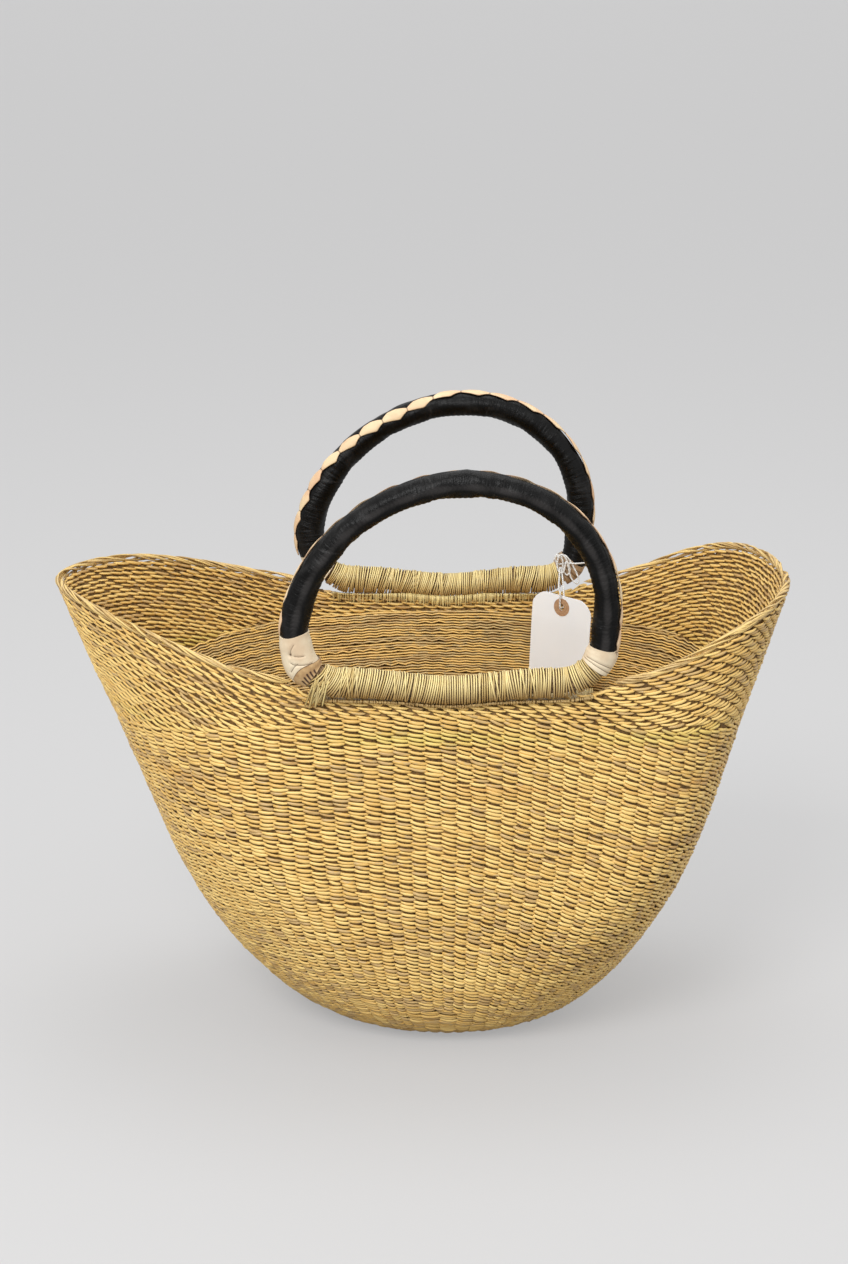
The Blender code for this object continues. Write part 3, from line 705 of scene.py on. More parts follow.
def weave_piece(name, strands, nodes, finish=straw, flat_share=straw_flat_share, sides=6):
    piece = straw_mesh(name, strands, finish, flat_share, sides)
    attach(piece, "basket")
    if nodes:
        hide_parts(*nodes)


# The seam is level with the rows, so it too lies lower towards the horns than in front
front_run = np.interp(seam_height, climb_heights, climb_runs[front_index])
seam_line = course_heights(base_run + front_run)

base_rows, body_rows = [], []
for row in range(1, round((base_run + front_run) / row_pitch)):
    run = row_pitch * (row + 1.0)
    course = body_course(run)
    turns = stake_turns(run)
    kept = np.interp(turns % 4.0, course_turns, seam_line - course[0][:, 2]) > seam_clearance * row_pitch
    rows = base_rows if run < base_run + base_edge_height else body_rows
    bend = mix(2.0 * stitch_bend, stitch_bend, smooth((run - base_run) / 0.10))
    rows.append(row_of_stitches(row, course, turns, kept, 1.0, stitch_rise, straw_half_width, bend))
weave_piece("base_rows", sum(base_rows, []), ["base_weave"])
rows_per_piece = 20
for number, start in enumerate(range(0, len(body_rows), rows_per_piece)):
    weave_piece(f"body_rows_{number + 1}", sum(body_rows[start:start + rows_per_piece], []),
                ["body_weave"] if number == 0 else [])

base_cords, body_cords = [], []
for row in range(1, round((base_run + front_run) / inner_pitch)):
    run = inner_pitch * (row + 1.0)
    course = body_course(run)
    below = course[0][:, 2] < seam_line
    count = 2 * max(round(stake_count * min(run / base_run, 1.0)), 14)
    cords = base_cords if run <= base_run + base_cord_height else body_cords
    cords.extend(inner_cord(course, below, count))
weave_piece("inner_base_cords", base_cords, [], inner_straw, inner_flat_share, 4)
cords_per_piece = 50
for number, start in enumerate(range(0, len(body_cords), cords_per_piece)):
    weave_piece(f"inner_cords_{number + 1}", body_cords[start:start + cords_per_piece], [],
                inner_straw, inner_flat_share, 4)


# The two horns
# Rows that follow the mouth edge, twined the same way, with lenses on both faces. They begin in a
# straight level line on top of the body's rows and run on under the handles. The first row is the
# selvage, which follows the top of the wall.

horn_stakes = 126
horn_half_width = 0.00102
inner_rise_share = 0.5
first_row_drop = 0.4
seam_overlap_outside, seam_overlap_inside = 0.4, 0.9
selvage_clearance = 0.75
horn_drift = 0.0007
past_middle = 0.004

rows = {-1.0: [], 1.0: []}
heights = np.full(len(course_turns), near_mouth)
row, any_kept = 0, True
while any_kept:
    for _ in range(8):
        place = wall_place(course_turns, heights)
        ring = place[:-1]
        step = np.linalg.norm(np.roll(ring, -1, 0) - np.roll(ring, 1, 0), axis=1) / 2.0
        edge = rim_height(ring[:, 0]) if row else wall_top(ring[:, 0])
        slope = (np.roll(edge, -1) - np.roll(edge, 1)) / 2.0 / np.maximum(step, 1e-6)
        slope = np.r_[slope, slope[:1]]
        line = rim_height(place[:, 0]) - 2.0 * rim_radius if row else wall_top(place[:, 0])
        drop = (row + first_row_drop) * row_pitch * np.sqrt(1.0 + slope ** 2)
        heights = mix(heights, line - drop, 0.8)
    uneven = heights + drift(course_turns, heights, horn_drift, 3.1) * min(row / 3.0, 1.0)
    middle, normal, up = wall_frame(course_turns, uneven)
    middle = middle + normal * drift(course_turns, uneven, row_swell, 2.3)[:, None]
    ring = middle[:-1]
    along = unit(np.roll(ring, -1, 0) - np.roll(ring, 1, 0))
    up = unit(np.cross(np.r_[along, along[:1]], normal))
    any_kept = False
    for face in (1.0, -1.0):
        room = uneven - seam_line + (seam_overlap_outside if face > 0 else seam_overlap_inside) * row_pitch
        if row:
            room = np.minimum(room, wall_top(middle[:, 0]) - uneven - selvage_clearance * row_pitch)
        turns = 4.0 * (np.arange(horn_stakes) + 0.5 * (row % 2) + 0.07 * row) / horn_stakes
        turns = turns + stake_shake * random.standard_normal(horn_stakes)
        for side_sign in (-1.0, 1.0):
            own = np.minimum(room, middle[:, 0] * side_sign + past_middle)
            kept = np.interp(turns % 4.0, course_turns, own) > 0.0
            any_kept = any_kept or kept.any()
            rise = stitch_rise * (1.0 if face > 0 else inner_rise_share)
            rows[side_sign] += row_of_stitches((face, row), (middle, normal, up), turns, kept, face,
                                               rise, horn_half_width)
    row += 1
weave_piece("left_flare_rows", rows[-1.0], ["left_flare_weave"])
weave_piece("right_flare_rows", rows[1.0], ["right_flare_weave"])


# The mouth border
# The stakes' ends are bent over and bound along each horn. They show as a narrow pale band of
# straws that run side by side along the edge, cross one another slowly and end here and there.

border_straws = 9
border_twist_radius = 0.00190
border_straw_radius = 0.00074
border_twist_length = 0.070
border_step = 0.0022
border_end = 0.0945
border_knots = 24
border_taper_length = 0.012
border_below_bar = 0.0015
border_points, near_rim = 1200, 0.26
straw_least_points, straw_most_points, straw_overlap_points = 9, 20, 3
straw_end_tuck = 0.0009

border = Finish("rim_straw", Roughness=0.5)
border_grain = border.noise(border.place((220.0, 220.0, 220.0)), 1.0, 3.0)
border_colour = border.node("ShaderNodeValToRGB", {"stops": (
    (0.0, (0.45, 0.26, 0.07)), (0.5, (0.70, 0.51, 0.225)), (0.5, (0.78, 0.55, 0.20)))},
    {0: border.attribute("tone") * 0.65 + border_grain * 0.65 - 0.15})
# Painted shade in the grooves between the border straws.
border.feed(Base_Color=border.shaded(border_colour, (0.22, 0.11, 0.02), 0.4, 1.0, 0.75))

for name, first_turn, last_turn in (("left_rim", 2.02, 3.98), ("right_rim", 0.02, 1.98)):
    turns = np.linspace(first_turn, last_turn, border_points)
    heights = np.full(border_points, near_rim)
    for _ in range(8):
        x = wall_place(turns, heights)[:, 0]
        heights = np.minimum(rim_height(x) - rim_radius, free_height(x) - border_below_bar)
    lines = wall_frame(turns, heights)
    on_horn = np.abs(lines[0][:, 0]) > border_end
    lines = [line[on_horn] for line in lines]
    run = run_along(lines[0])
    even = np.arange(0.0, run[-1], border_step)
    line, normal, up = (read_line(even, run, part) for part in lines)
    taper = smooth(np.minimum(even, even[-1] - even) / border_taper_length)
    knots = np.linspace(0.0, even[-1], border_knots)
    strands = []
    for index in range(border_straws):
        wander = np.interp(even, knots, np.cumsum(0.10 * random.standard_normal(border_knots)))
        phase = 2.0 * np.pi * (even / border_twist_length + wander + index / border_straws)
        outward = normal * np.cos(phase)[:, None] + up * np.sin(phase)[:, None]
        points = line + outward * (border_twist_radius * (0.35 + 0.65 * taper))[:, None]
        first = 0
        while first < len(even) - 6:
            last = min(first + int(random.integers(straw_least_points, straw_most_points)), len(even) - 1)
            size = border_straw_radius * (0.5 + 0.5 * taper[first:last]) * mix(0.85, 1.20, random.random())
            tone = np.full(last - first, random.random())
            ends = np.abs(np.linspace(-1.0, 1.0, last - first)) ** 6
            tucked = points[first:last] - outward[first:last] * (straw_end_tuck * ends)[:, None]
            strands.append(Strand(tucked, size, outward[first:last], {"tone": tone}, row=("rim", index)))
            first = last - straw_overlap_points
    rim = straw_mesh(name, strands, border, 0.85)
    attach(rim, "basket")
    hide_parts(name + "_border")


# The handle cores
# Each handle is one closed hoop of grass stems, bundled and twisted. Its bar lies under the straw
# winding and its arch inside the leather.

lean_angle = math.radians(3.4)
corner_square_share = 2.5
leather_thickness = 0.0013


def turned(first, second, angle):
    """Two coordinates after a turn by this angle."""
    return (first * math.cos(angle) - second * math.sin(angle),
            first * math.sin(angle) + second * math.cos(angle))


class Hoop:
    """A closed hoop in its own plane, with lengths that run from the middle of its bar by the right leg."""

    def __init__(self, name, side, arch, leg_radius, top_radius, left_cuff, right_cuff, cuff_radius):
        self.name, self.side = name, side
        self.arch_half, self.shoulder, self.rise, self.skew, self.shift = arch
        self.leg_radius, self.top_radius = leg_radius, top_radius
        self.left_cuff, self.right_cuff, self.cuff_radius = left_cuff, right_cuff, cuff_radius
        steps = 200
        bar_x = bar_half * np.arange(steps) / steps
        angle = np.pi / 2.0 * (1.0 - np.arange(steps) / steps)
        power = 2.0 / corner_square_share
        across, down = np.clip(np.cos(angle), 0, 1) ** power, np.clip(np.sin(angle), 0, 1) ** power
        half = np.concatenate([
            np.c_[bar_x, mix(-bar_sag, bar_lift, smooth(bar_x / bar_half))],
            np.c_[mix(bar_half, self.arch_half, across), mix(self.shoulder, bar_lift, down)]])
        angle = np.pi * np.arange(2 * steps + 1) / (2 * steps)
        arch = np.c_[self.arch_half * np.cos(angle) + self.skew * np.sin(angle),
                     self.shoulder + self.rise * np.sin(angle)]
        self.outline = np.concatenate([half, arch, half[::-1] * (-1.0, 1.0)])
        self.outline[:, 0] += self.shift * smooth(self.outline[:, 1] / self.shoulder)
        self.lengths = run_along(self.outline)
        self.whole = self.lengths[-1]

    def stand(self, vectors):
        """The hoop leans outwards about its hinge."""
        leant = turned(vectors[..., 1], vectors[..., 2], -self.side * lean_angle)
        return np.stack([vectors[..., 0], *leant], -1)

    def at(self, length):
        length = np.asarray(length, float) % self.whole
        return np.stack([np.interp(length, self.lengths, self.outline[:, 0]), np.zeros_like(length),
                         np.interp(length, self.lengths, self.outline[:, 1])], -1)

    def frame(self, length):
        """Centre, outward normal and the direction towards the back, all in the basket's frame."""
        step = winding_radius / 8.0
        tangent = unit(self.at(length + step) - self.at(length - step))
        normal = np.stack([tangent[..., 2], np.zeros_like(tangent[..., 0]), -tangent[..., 0]], -1)
        hinge = np.array([0.0, self.side * mouth_half_depth, hinge_height])
        behind = self.stand(np.broadcast_to((0.0, 1.0, 0.0), tangent.shape))
        return self.stand(self.at(length)) + hinge, self.stand(normal), behind

    def round(self, length, turn, radius):
        """The point this far round the tube from its outer side, and its direction from the middle."""
        centre, normal, behind = self.frame(length)
        direction = normal * np.cos(turn)[..., None] + behind * np.sin(turn)[..., None]
        return centre + direction * np.asarray(radius)[..., None], direction

    def leather_radius(self, length):
        height = self.at(length)[..., 2]
        return mix(self.leg_radius, self.top_radius, smooth(height / (self.shoulder + self.rise)))


front_hoop = Hoop("front", -1, (0.0922, 0.037, 0.088, 0.011, 0.0), 0.0077, 0.0070,
                  (0.0830, 0.1120), (0.0860, 0.1030), 0.0094)
back_hoop = Hoop("back", 1, (0.0925, 0.038, 0.086, 0.014, -0.0015), 0.0088, 0.0078,
                 (0.0820, 0.1020), (0.0800, 0.0935), 0.0098)

core_stems = 10
stem_radius = 0.0019
core_twists = 9
core_points = 420
core_bar_radius, core_gap = 0.0069, 0.0004

grass = Finish("grass_core", Roughness=0.75)
grass_grain = grass.noise(grass.place((300.0, 300.0, 300.0)), 1.0, 3.0)
grass_colour = grass.mix(grass_grain.over(0.3, 0.7), (0.20, 0.115, 0.05), (0.42, 0.28, 0.14))
# Painted shade in the grooves between the stems.
grass.feed(Base_Color=grass.shaded(grass_colour, (0.05, 0.025, 0.01), 0.4, 1.0, 0.7))

for hoop in (front_hoop, back_hoop):
    lengths = np.arange(core_points) * hoop.whole / core_points
    from_middle = np.minimum(lengths, hoop.whole - lengths)
    cuff = np.where((lengths < hoop.whole / 2.0)[:, None], hoop.right_cuff, hoop.left_cuff)
    covered = hoop.leather_radius(lengths) - leather_thickness - core_gap
    bundle = mix(core_bar_radius, covered, smooth((from_middle - cuff[:, 0]) / (cuff[:, 1] - cuff[:, 0])))
    centre, normal, behind = hoop.frame(lengths)
    strands = [Strand(centre, bundle - 1.6 * stem_radius, normal, {}, closed=True)]
    for stem in range(core_stems):
        turn = 2.0 * np.pi * (stem / core_stems + core_twists * lengths / hoop.whole)
        points, direction = hoop.round(lengths, turn, bundle - stem_radius)
        strands.append(Strand(points, np.full(len(lengths), stem_radius), direction, {}, closed=True))
    core = straw_mesh(hoop.name + "_core", strands, grass, 1.0)
    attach(core, hoop.name + "_handle")
    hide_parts(hoop.name + "_handle_core")


# The straw windings
# One pale straw after another is wound about each hoop's bar, some hundred and twenty turns, and
# lashed down through the mouth edge. They lie close, lean in groups and leave dark gaps.

winding_turns = 118
winding_points = 14
winding_straw_radius = 0.00063
lashing_count = 210
lashing_radius = 0.0094
lashing_inner_turn, lashing_outer_turn = math.radians(-50), math.radians(15)
lashing_arc_points = 9
lashing_inner_end, lashing_inner_knee = 0.1202, 0.1197
lashing_outer_knee, lashing_outer_end = 0.1287, 0.1274
lashing_middle = (0.1245, 0.2520)
lashing_slant = 0.0008
lean_knots, lean_wander = 34, 0.0007
winding_shake, winding_looseness, winding_loosest = 0.00011, 0.012, 1.03
winding_past_end = 0.0004
straw_width_spread, hang_thickening = 0.16, 170.0
loose_straw_radius = 0.00062
stray_count, stray_points = 26, 12
end_count, end_points = 24, 10
end_from, end_to = -0.0815, -0.0725
end_over_wall = 0.0030
hang_shares = {"front": 0.55, "back": 0.90}
hang_most, hang_half, hang_fade = 0.0034, 0.067, 0.012

pale = Finish("pale_straw", Roughness=0.42)
pale_grain = pale.noise(pale.place((300.0, 60.0, 60.0)), 1.0, 2.0)
pale_colour = pale.node("ShaderNodeValToRGB", {"stops": (
    (0.0, (0.60, 0.41, 0.12)), (0.5, (0.80, 0.655, 0.31)), (0.5, (0.88, 0.71, 0.31)))},
    {0: pale.attribute("tone") * 0.65 + pale_grain * 0.5 - 0.08})
# Darker by each straw's low value. On the winding and the strays this is painted shade on their undersides.
# On the lashings it rises towards their outer ends, and on the loose ends it is set at random. Painted shade
# also darkens the grooves between turns.
pale_shaded_below = pale.mix(pale.attribute("low").over(0.25, 1.0) * 0.75, pale_colour, (0.38, 0.19, 0.05))
pale.feed(Base_Color=pale.shaded(pale_shaded_below, (0.15, 0.07, 0.015), 0.25, 0.90, 0.85))


def slow_walk(count, knots, size):
    """Values that wander slowly from one turn to the next."""
    values = size * random.standard_normal(knots)
    return np.interp(np.linspace(0.0, knots - 1.0, count), np.arange(knots), values)


def outer_share(turn):
    """1 on the side where turns begin, down to 0 a quarter turn from it."""
    return np.clip(np.cos(turn), 0.0, 1.0) ** 2


def hanging(hoop, length, turn):
    """How far the straws hang below the bar to meet the wall, where the bar rises off it."""
    place = hoop.at(length)
    gap = hinge_height + place[..., 2] - winding_radius - free_height(place[..., 0])
    fade = 1.0 - smooth((np.abs(place[..., 0]) - hang_half) / hang_fade)
    return hang_shares[hoop.name] * np.clip(gap, 0.0, hang_most) * fade * outer_share(turn)


for hoop, leans, (start_shift, end_shift), (from_x, to_x) in (
        (front_hoop, (0.0034, 0.0006), (0.0008, 0.0030), (-0.0810, 0.0860)),
        (back_hoop, (0.0008, 0.0020), (0.0012, -0.0008), (-0.0780, 0.0760))):
    start = -hoop.left_cuff[0] + start_shift
    end = hoop.right_cuff[0] + end_shift
    every_turn = np.arange(winding_turns + 1)
    weights = 1.0 + 0.6 * (random.random(winding_turns) > 0.96) + 0.18 * random.random(winding_turns)
    places = start + (end - start) * np.r_[0.0, np.cumsum(weights)] / weights.sum()
    count = winding_turns * winding_points
    step = np.arange(count + 1) / winding_points
    turn = 2.0 * np.pi * step
    lean = mix(*leans, smooth(2.2 * step / winding_turns))
    lean = lean + np.interp(step, every_turn, slow_walk(winding_turns + 1, lean_knots, lean_wander))
    shake = np.interp(step, every_turn, winding_shake * random.standard_normal(winding_turns + 1))
    length = np.interp(step, every_turn, places) - lean * np.cos(turn) + shake
    length = np.clip(length, -hoop.left_cuff[0] + winding_past_end, end + winding_past_end)
    loose = winding_looseness * random.standard_normal(winding_turns + 1)
    loose = np.minimum(1.0 + np.interp(step, every_turn, loose), winding_loosest)
    radius = (winding_radius - winding_straw_radius) * loose
    sag = hanging(hoop, length, turn)
    points, direction = hoop.round(length, turn, radius + sag)
    tone = np.repeat(random.random(winding_turns + 1), winding_points)[:count + 1]
    size = winding_straw_radius * (1.0 + straw_width_spread * (tone - 0.5)) * (1.0 + hang_thickening * sag)
    # low rises to 1 on the roll's underside, which the finish darkens as painted shade.
    strands = [Strand(points, size, direction, {"tone": tone, "low": 0.5 - 0.5 * direction[:, 2]})]
    share = np.linspace(0.0, 1.0, stray_points)
    for _ in range(stray_count):
        middle = mix(start + 0.006, end - 0.006, random.random())
        reach = random.choice([-1.0, 1.0]) * mix(0.001, 0.005, random.random())
        turn = np.pi * mix(0.50, 1.95, share)
        length = middle + reach * (share - 0.5)
        radius = winding_radius - 0.0001 + hanging(hoop, length, turn)
        points, direction = hoop.round(length, turn, radius)
        values = {"tone": np.full(stray_points, random.random()), "low": 0.5 - 0.5 * direction[:, 2]}
        strands.append(Strand(points, np.full(stray_points, loose_straw_radius), direction, values))
    winding = straw_mesh(hoop.name + "_winding_straws", strands, pale, 0.9)
    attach(winding, hoop.name + "_handle")
    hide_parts(hoop.name + "_winding")

    # The lashings that hold this roll down on the wall
    strands = []
    for index in range(lashing_count):
        x = mix(from_x, to_x, (index + 0.4 * random.random()) / lashing_count)
        lift = bar_height(x)
        turn = np.linspace(lashing_inner_turn, lashing_outer_turn, lashing_arc_points)
        radius = lashing_radius + 0.87 * max(lift, 0.0) * np.abs(np.sin(turn)) + 0.0003 * random.random()
        centre = free_height(x) + winding_radius + seat_gap
        over = np.stack([np.full(lashing_arc_points, x), mouth_half_depth + radius * np.sin(turn),
                         centre - radius * np.cos(turn)], -1)
        low = free_height(x)
        inner = [(x, lashing_inner_end, low - mix(0.0020, 0.0060, random.random())),
                 (x, lashing_inner_knee, low + 0.0002)]
        outer = [(x, lashing_outer_knee, low - 0.0012),
                 (x, lashing_outer_end, low - mix(0.0018, 0.0030, random.random()))]
        points = np.concatenate([inner, over, outer])
        count = len(points)
        outwards = unit(points - (x, *lashing_middle)) * (0.0, 1.0, 1.0)
        points[:, 0] += np.linspace(-1.0, 1.0, count) * mix(-lashing_slant, lashing_slant, random.random())
        points[:, 1] *= hoop.side
        outwards[:, 1] *= hoop.side
        # low rises along each lashing, so it is darker towards its outer end.
        values = {"tone": np.full(count, random.random()), "low": np.linspace(0.2, 0.9, count)}
        strands.append(Strand(points, np.full(count, loose_straw_radius), unit(outwards), values))
    lashing = straw_mesh(hoop.name + "_lashing", strands, pale, 1.0, 4)
    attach(lashing, "basket")

# Loose ends of the front winding, tucked into the wall beside its left end
front_turns = np.linspace(2.0, 2.7, 71)
front_x = -wall_place(front_turns, near_mouth)[:, 0]
share = np.linspace(0.0, 1.0, end_points)
strands = []
for index in range(end_count):
    length = np.array([mix(end_from, end_to, index / (end_count - 1))])
    from_turn = np.array([np.pi * mix(1.35, 1.80, random.random())])
    begin, out_begin = front_hoop.round(length, from_turn, np.array([winding_radius]))
    end_turn = np.interp(-begin[0, 0] + mix(0.002, 0.007, random.random()), front_x, front_turns)
    low = mix(0.2375, 0.2425, random.random())
    wall, wall_normal = wall_frame(np.array([end_turn]), np.array([low]))[:2]
    points = begin + (wall + wall_normal * end_over_wall - begin) * share[:, None]
    bow = np.sin(np.pi * share)[:, None] * np.array([0.0, -1.0, 0.2]) * mix(0.0008, 0.0020, random.random())
    normals = unit(out_begin + (wall_normal - out_begin) * share[:, None])
    # Each loose end gets a random low, a plain darkening.
    values = {"tone": np.full(end_points, random.random()),
              "low": np.full(end_points, mix(0.2, 0.6, random.random()))}
    radii = np.full(end_points, mix(0.0005, 0.0008, random.random()))
    strands.append(Strand(points + bow, radii, normals, values))
fan = straw_mesh("front_winding_ends", strands, pale, 1.0)
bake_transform(fan)


# The leather sleeves
# Black goatskin drawn tight round each arch and closed along its outer side. It wrinkles across
# the bends, is worn grey on its ridges, and overlaps itself in a few low steps.
# A painted sheen lightens the side that faces forward, at half strength on the back hoop.

sleeve_under_cuff = 0.0035
sleeve_stations, sleeve_around = 340, 64
sleeve_facets, sleeve_facet_depth = 17, 0.00070
sleeve_step_shares = np.array([0.11, 0.30, 0.44, 0.58, 0.83])
sleeve_step_depth, sleeve_step_rise = 0.00034, 0.0008
sleeve_joint_height = 0.00035
sleeve_hollows = ((2.0, 0.00028, 1.0), (5.0, 0.00016, 2.0))
wrinkle_size, wrinkle_rate = 0.00014, 1700.0
lacing_width = 0.0082
lacing_pitch_leg, lacing_pitch_top = 0.0120, 0.0185
lacing_degrees = {
    "front": (-16.0, -4.0, 18.0, 44.0, 50.0, 50.0, 44.0, 12.0, -8.0),
    "back": (-4.0, -6.0, -8.0, -10.0, -18.0, -62.0, -58.0, -36.0, -12.0)}


def lacing_turn(hoop, share):
    """Where the sleeve's joint lies round the tube, from the right cuff to the left one."""
    table = np.radians(lacing_degrees[hoop.name])
    step = np.clip(share, 0.0, 1.0) * (len(table) - 1)
    whole = np.minimum(np.floor(step), len(table) - 2).astype(int)
    return mix(table[whole], table[whole + 1], smooth(step - whole))


def turn_from(turn, origin):
    """The turn as seen from this origin, between half a turn back and half a turn on."""
    return (turn - origin + np.pi) % (2.0 * np.pi) - np.pi


def wrapped_grid(name, stations, around, place, finish):
    """A grid mapped round a tube, its seam welded. place gets each corner's station and its turn."""
    builder = bmesh.new()
    builder.loops.layers.uv.new("OFBake")
    bmesh.ops.create_grid(builder, x_segments=stations, y_segments=around, size=1.0, calc_uvs=True)
    corners = np.array([vertex.co[:] for vertex in builder.verts])
    station = np.rint((corners[:, 0] + 1.0) / 2.0 * stations)
    step = np.rint((corners[:, 1] + 1.0) / 2.0 * around)
    places, depth = place(station, 2.0 * np.pi * (step % around) / around)
    # Each corner keeps the place's second value: painted shade on the lacing, cuffs and flap, painted sheen
    # and lighter step edges on the black sleeves.
    layer = builder.verts.layers.float.new("crease")
    for vertex, point, value in zip(builder.verts, places, depth):
        vertex.co = point
        vertex[layer] = value
    bmesh.ops.remove_doubles(builder, verts=builder.verts, dist=1e-6)
    bmesh.ops.recalc_face_normals(builder, faces=builder.faces)
    mesh = bpy.data.meshes.new(name)
    builder.to_mesh(mesh)
    builder.free()
    mesh.shade_smooth()
    return add_piece(name, mesh, finish.material)


leather = Finish("black_leather", Roughness=0.40, Specular_IOR_Level=0.18)
leather_map = leather.own_map((0.29, 0.048, 1.0))
leather_grain = leather.noise(leather.place((1.0, 1.0, 1.0), leather_map), 1400.0, 2.0)
leather_folds = leather.noise(leather.place((420.0, 60.0, 1.0), leather_map), 1.0, 3.0)
leather_wear = leather.noise(leather.place((70.0, 110.0, 1.0), leather_map), 1.0, 5.0)
leather_specks = leather.noise(leather.place((900.0, 900.0, 1.0), leather_map), 1.0, 1.0)
leather_sheen_and_step_edges = leather.attribute("crease")
leather_worn = leather.mix(leather_wear.over(0.50, 0.78), (0.0016, 0.0015, 0.0014), (0.015, 0.0145, 0.0142))
leather_speckled = leather.mix(leather_specks.over(0.80, 0.84) * 0.6, leather_worn, (0.30, 0.29, 0.27))
# The mesh's painted value lightens the black towards grey: a painted sheen down the forward side, and lighter
# step edges.
leather.feed(
    Base_Color=leather.mix(leather_sheen_and_step_edges.over(0.35, 0.9) * 0.7, leather_speckled, (0.038, 0.035, 0.034)),
    Roughness=leather_wear * 0.35 + 0.22,
    Normal=leather.bump(leather_grain * 0.25 + leather_folds, 0.8, 0.0010))

# The last value is how strong the painted sheen is on each hoop.
for hoop, cuff_swell, left_swell, front_sheen in (
        (front_hoop, 0.0007, 0.0, 1.0), (back_hoop, 0.0002, 0.0010, 0.5)):
    start = hoop.right_cuff[1] - sleeve_under_cuff
    end = hoop.whole - hoop.left_cuff[1] + sleeve_under_cuff
    knots = np.linspace(start, end, sleeve_facets)
    facets = sleeve_facet_depth * random.standard_normal(sleeve_facets)
    turns_of_facets = 2.0 * np.pi * random.random(sleeve_facets)
    steps_at = sleeve_step_shares + 0.02 * random.standard_normal(len(sleeve_step_shares))
    steps_at = mix(start, end, steps_at)

    def place(station, turn):
        share = station / sleeve_stations
        length = mix(start, end, share)
        from_cuff = np.minimum(length - start, end - length)
        radius = hoop.leather_radius(length) + cuff_swell * (1.0 - smooth((from_cuff - 0.006) / 0.035))
        radius = radius + np.interp(length, knots, facets) * (0.5 + 0.5 * np.cos(turn - 1.3))
        radius = radius + left_swell * smooth(2.6 * share - 1.4)
        wander = np.interp(length, knots, turns_of_facets)
        for waves, size, twist in sleeve_hollows:
            radius = radius + size * np.cos(waves * turn + twist * wander)
        inner_bend = np.clip(-np.cos(turn), 0.0, 1.0)
        radius = radius + wrinkle_size * np.sin(length * wrinkle_rate + 2.5 * np.sin(3.0 * turn)) * inner_bend
        # Lighter along each step's raised edge, and a painted sheen down the forward side.
        step_edges_and_sheen = np.zeros_like(length)
        for index, step_at in enumerate(steps_at):
            past = length - step_at - 0.004 * np.sin(turn + 2.0 * index)
            radius = radius + sleeve_step_depth * (smooth(past / sleeve_step_rise) - smooth(past / 0.05))
            ridge = np.exp(-((past / sleeve_step_rise - 0.6) ** 2) / 0.5) * (np.sin(turn + index) > -0.3)
            step_edges_and_sheen = np.maximum(step_edges_and_sheen, 0.8 * ridge)
        # Painted sheen: a lighter, streaked band down the side that faces forward.
        front = front_sheen * np.exp(-((turn - 1.5 * np.pi) / 0.45) ** 2)
        streaks = 0.78 + 0.07 * np.sin(length * 2300.0 + 3.0 * np.sin(7.0 * turn))
        streaks = streaks + 0.12 * np.sin(length * 310.0)
        step_edges_and_sheen = np.maximum(step_edges_and_sheen, front * streaks)
        arc = np.abs(turn_from(turn, lacing_turn(hoop, share))) * radius
        radius = radius + sleeve_joint_height * (1.0 - smooth((arc - lacing_width * 0.62) / 0.0008))
        at_end = (station < 1) | (station > sleeve_stations - 1)
        radius = np.where(at_end, radius - leather_thickness, radius)
        return hoop.round(length, turn, radius)[0], step_edges_and_sheen

    sleeve = wrapped_grid(hoop.name + "_sleeve", sleeve_stations, sleeve_around, place, leather)
    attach(sleeve, hoop.name + "_handle")
    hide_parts(hoop.name + "_handle_leather")


# The lacing
# A thong of natural goatskin laced over the sleeve's joint. Each crossing shows as a slanting
# peach leaf, broad in the middle and pinched where the next one passes over it.
# Painted shade darkens each leaf's edges and its pinched ends, where the next leaf passes over it.

lacing_thickness = 0.0011
lacing_steps = 14
lacing_round = 12
lacing_neck = 0.30
lacing_knots = 400
lacing_under_cuff, lacing_over_leather = 0.001, 0.0010
leaf_width_shake, leaf_shift_shake = 0.08, 0.0004
upper_edge = ((0.0, 0.12, 0.28, 0.60, 0.85, 1.0), (lacing_neck, 0.62, 1.0, 0.97, 0.62, lacing_neck))
lower_edge = ((0.0, 0.30, 0.62, 0.78, 0.90, 1.0), (lacing_neck, 0.62, 1.0, 0.62, 0.36, lacing_neck))

peach = Finish("peach_leather", Roughness=0.6)
peach_painted_shade, peach_leaf = peach.attribute("crease"), peach.noise(peach.place((55.0, 55.0, 55.0)), 1.0, 3.0)
peach_pores = peach.noise(peach.place((900.0, 900.0, 900.0)), 1.0, 2.0)
peach_colour = peach.mix(peach_leaf.over(0.35, 0.65), (0.72, 0.47, 0.28), (0.80, 0.62, 0.38))
peach.feed(Base_Color=peach.mix(peach_painted_shade.over(0.45, 0.95), peach_colour, (0.09, 0.04, 0.018)),
           Normal=peach.bump(peach_pores, 0.2, 0.0003))

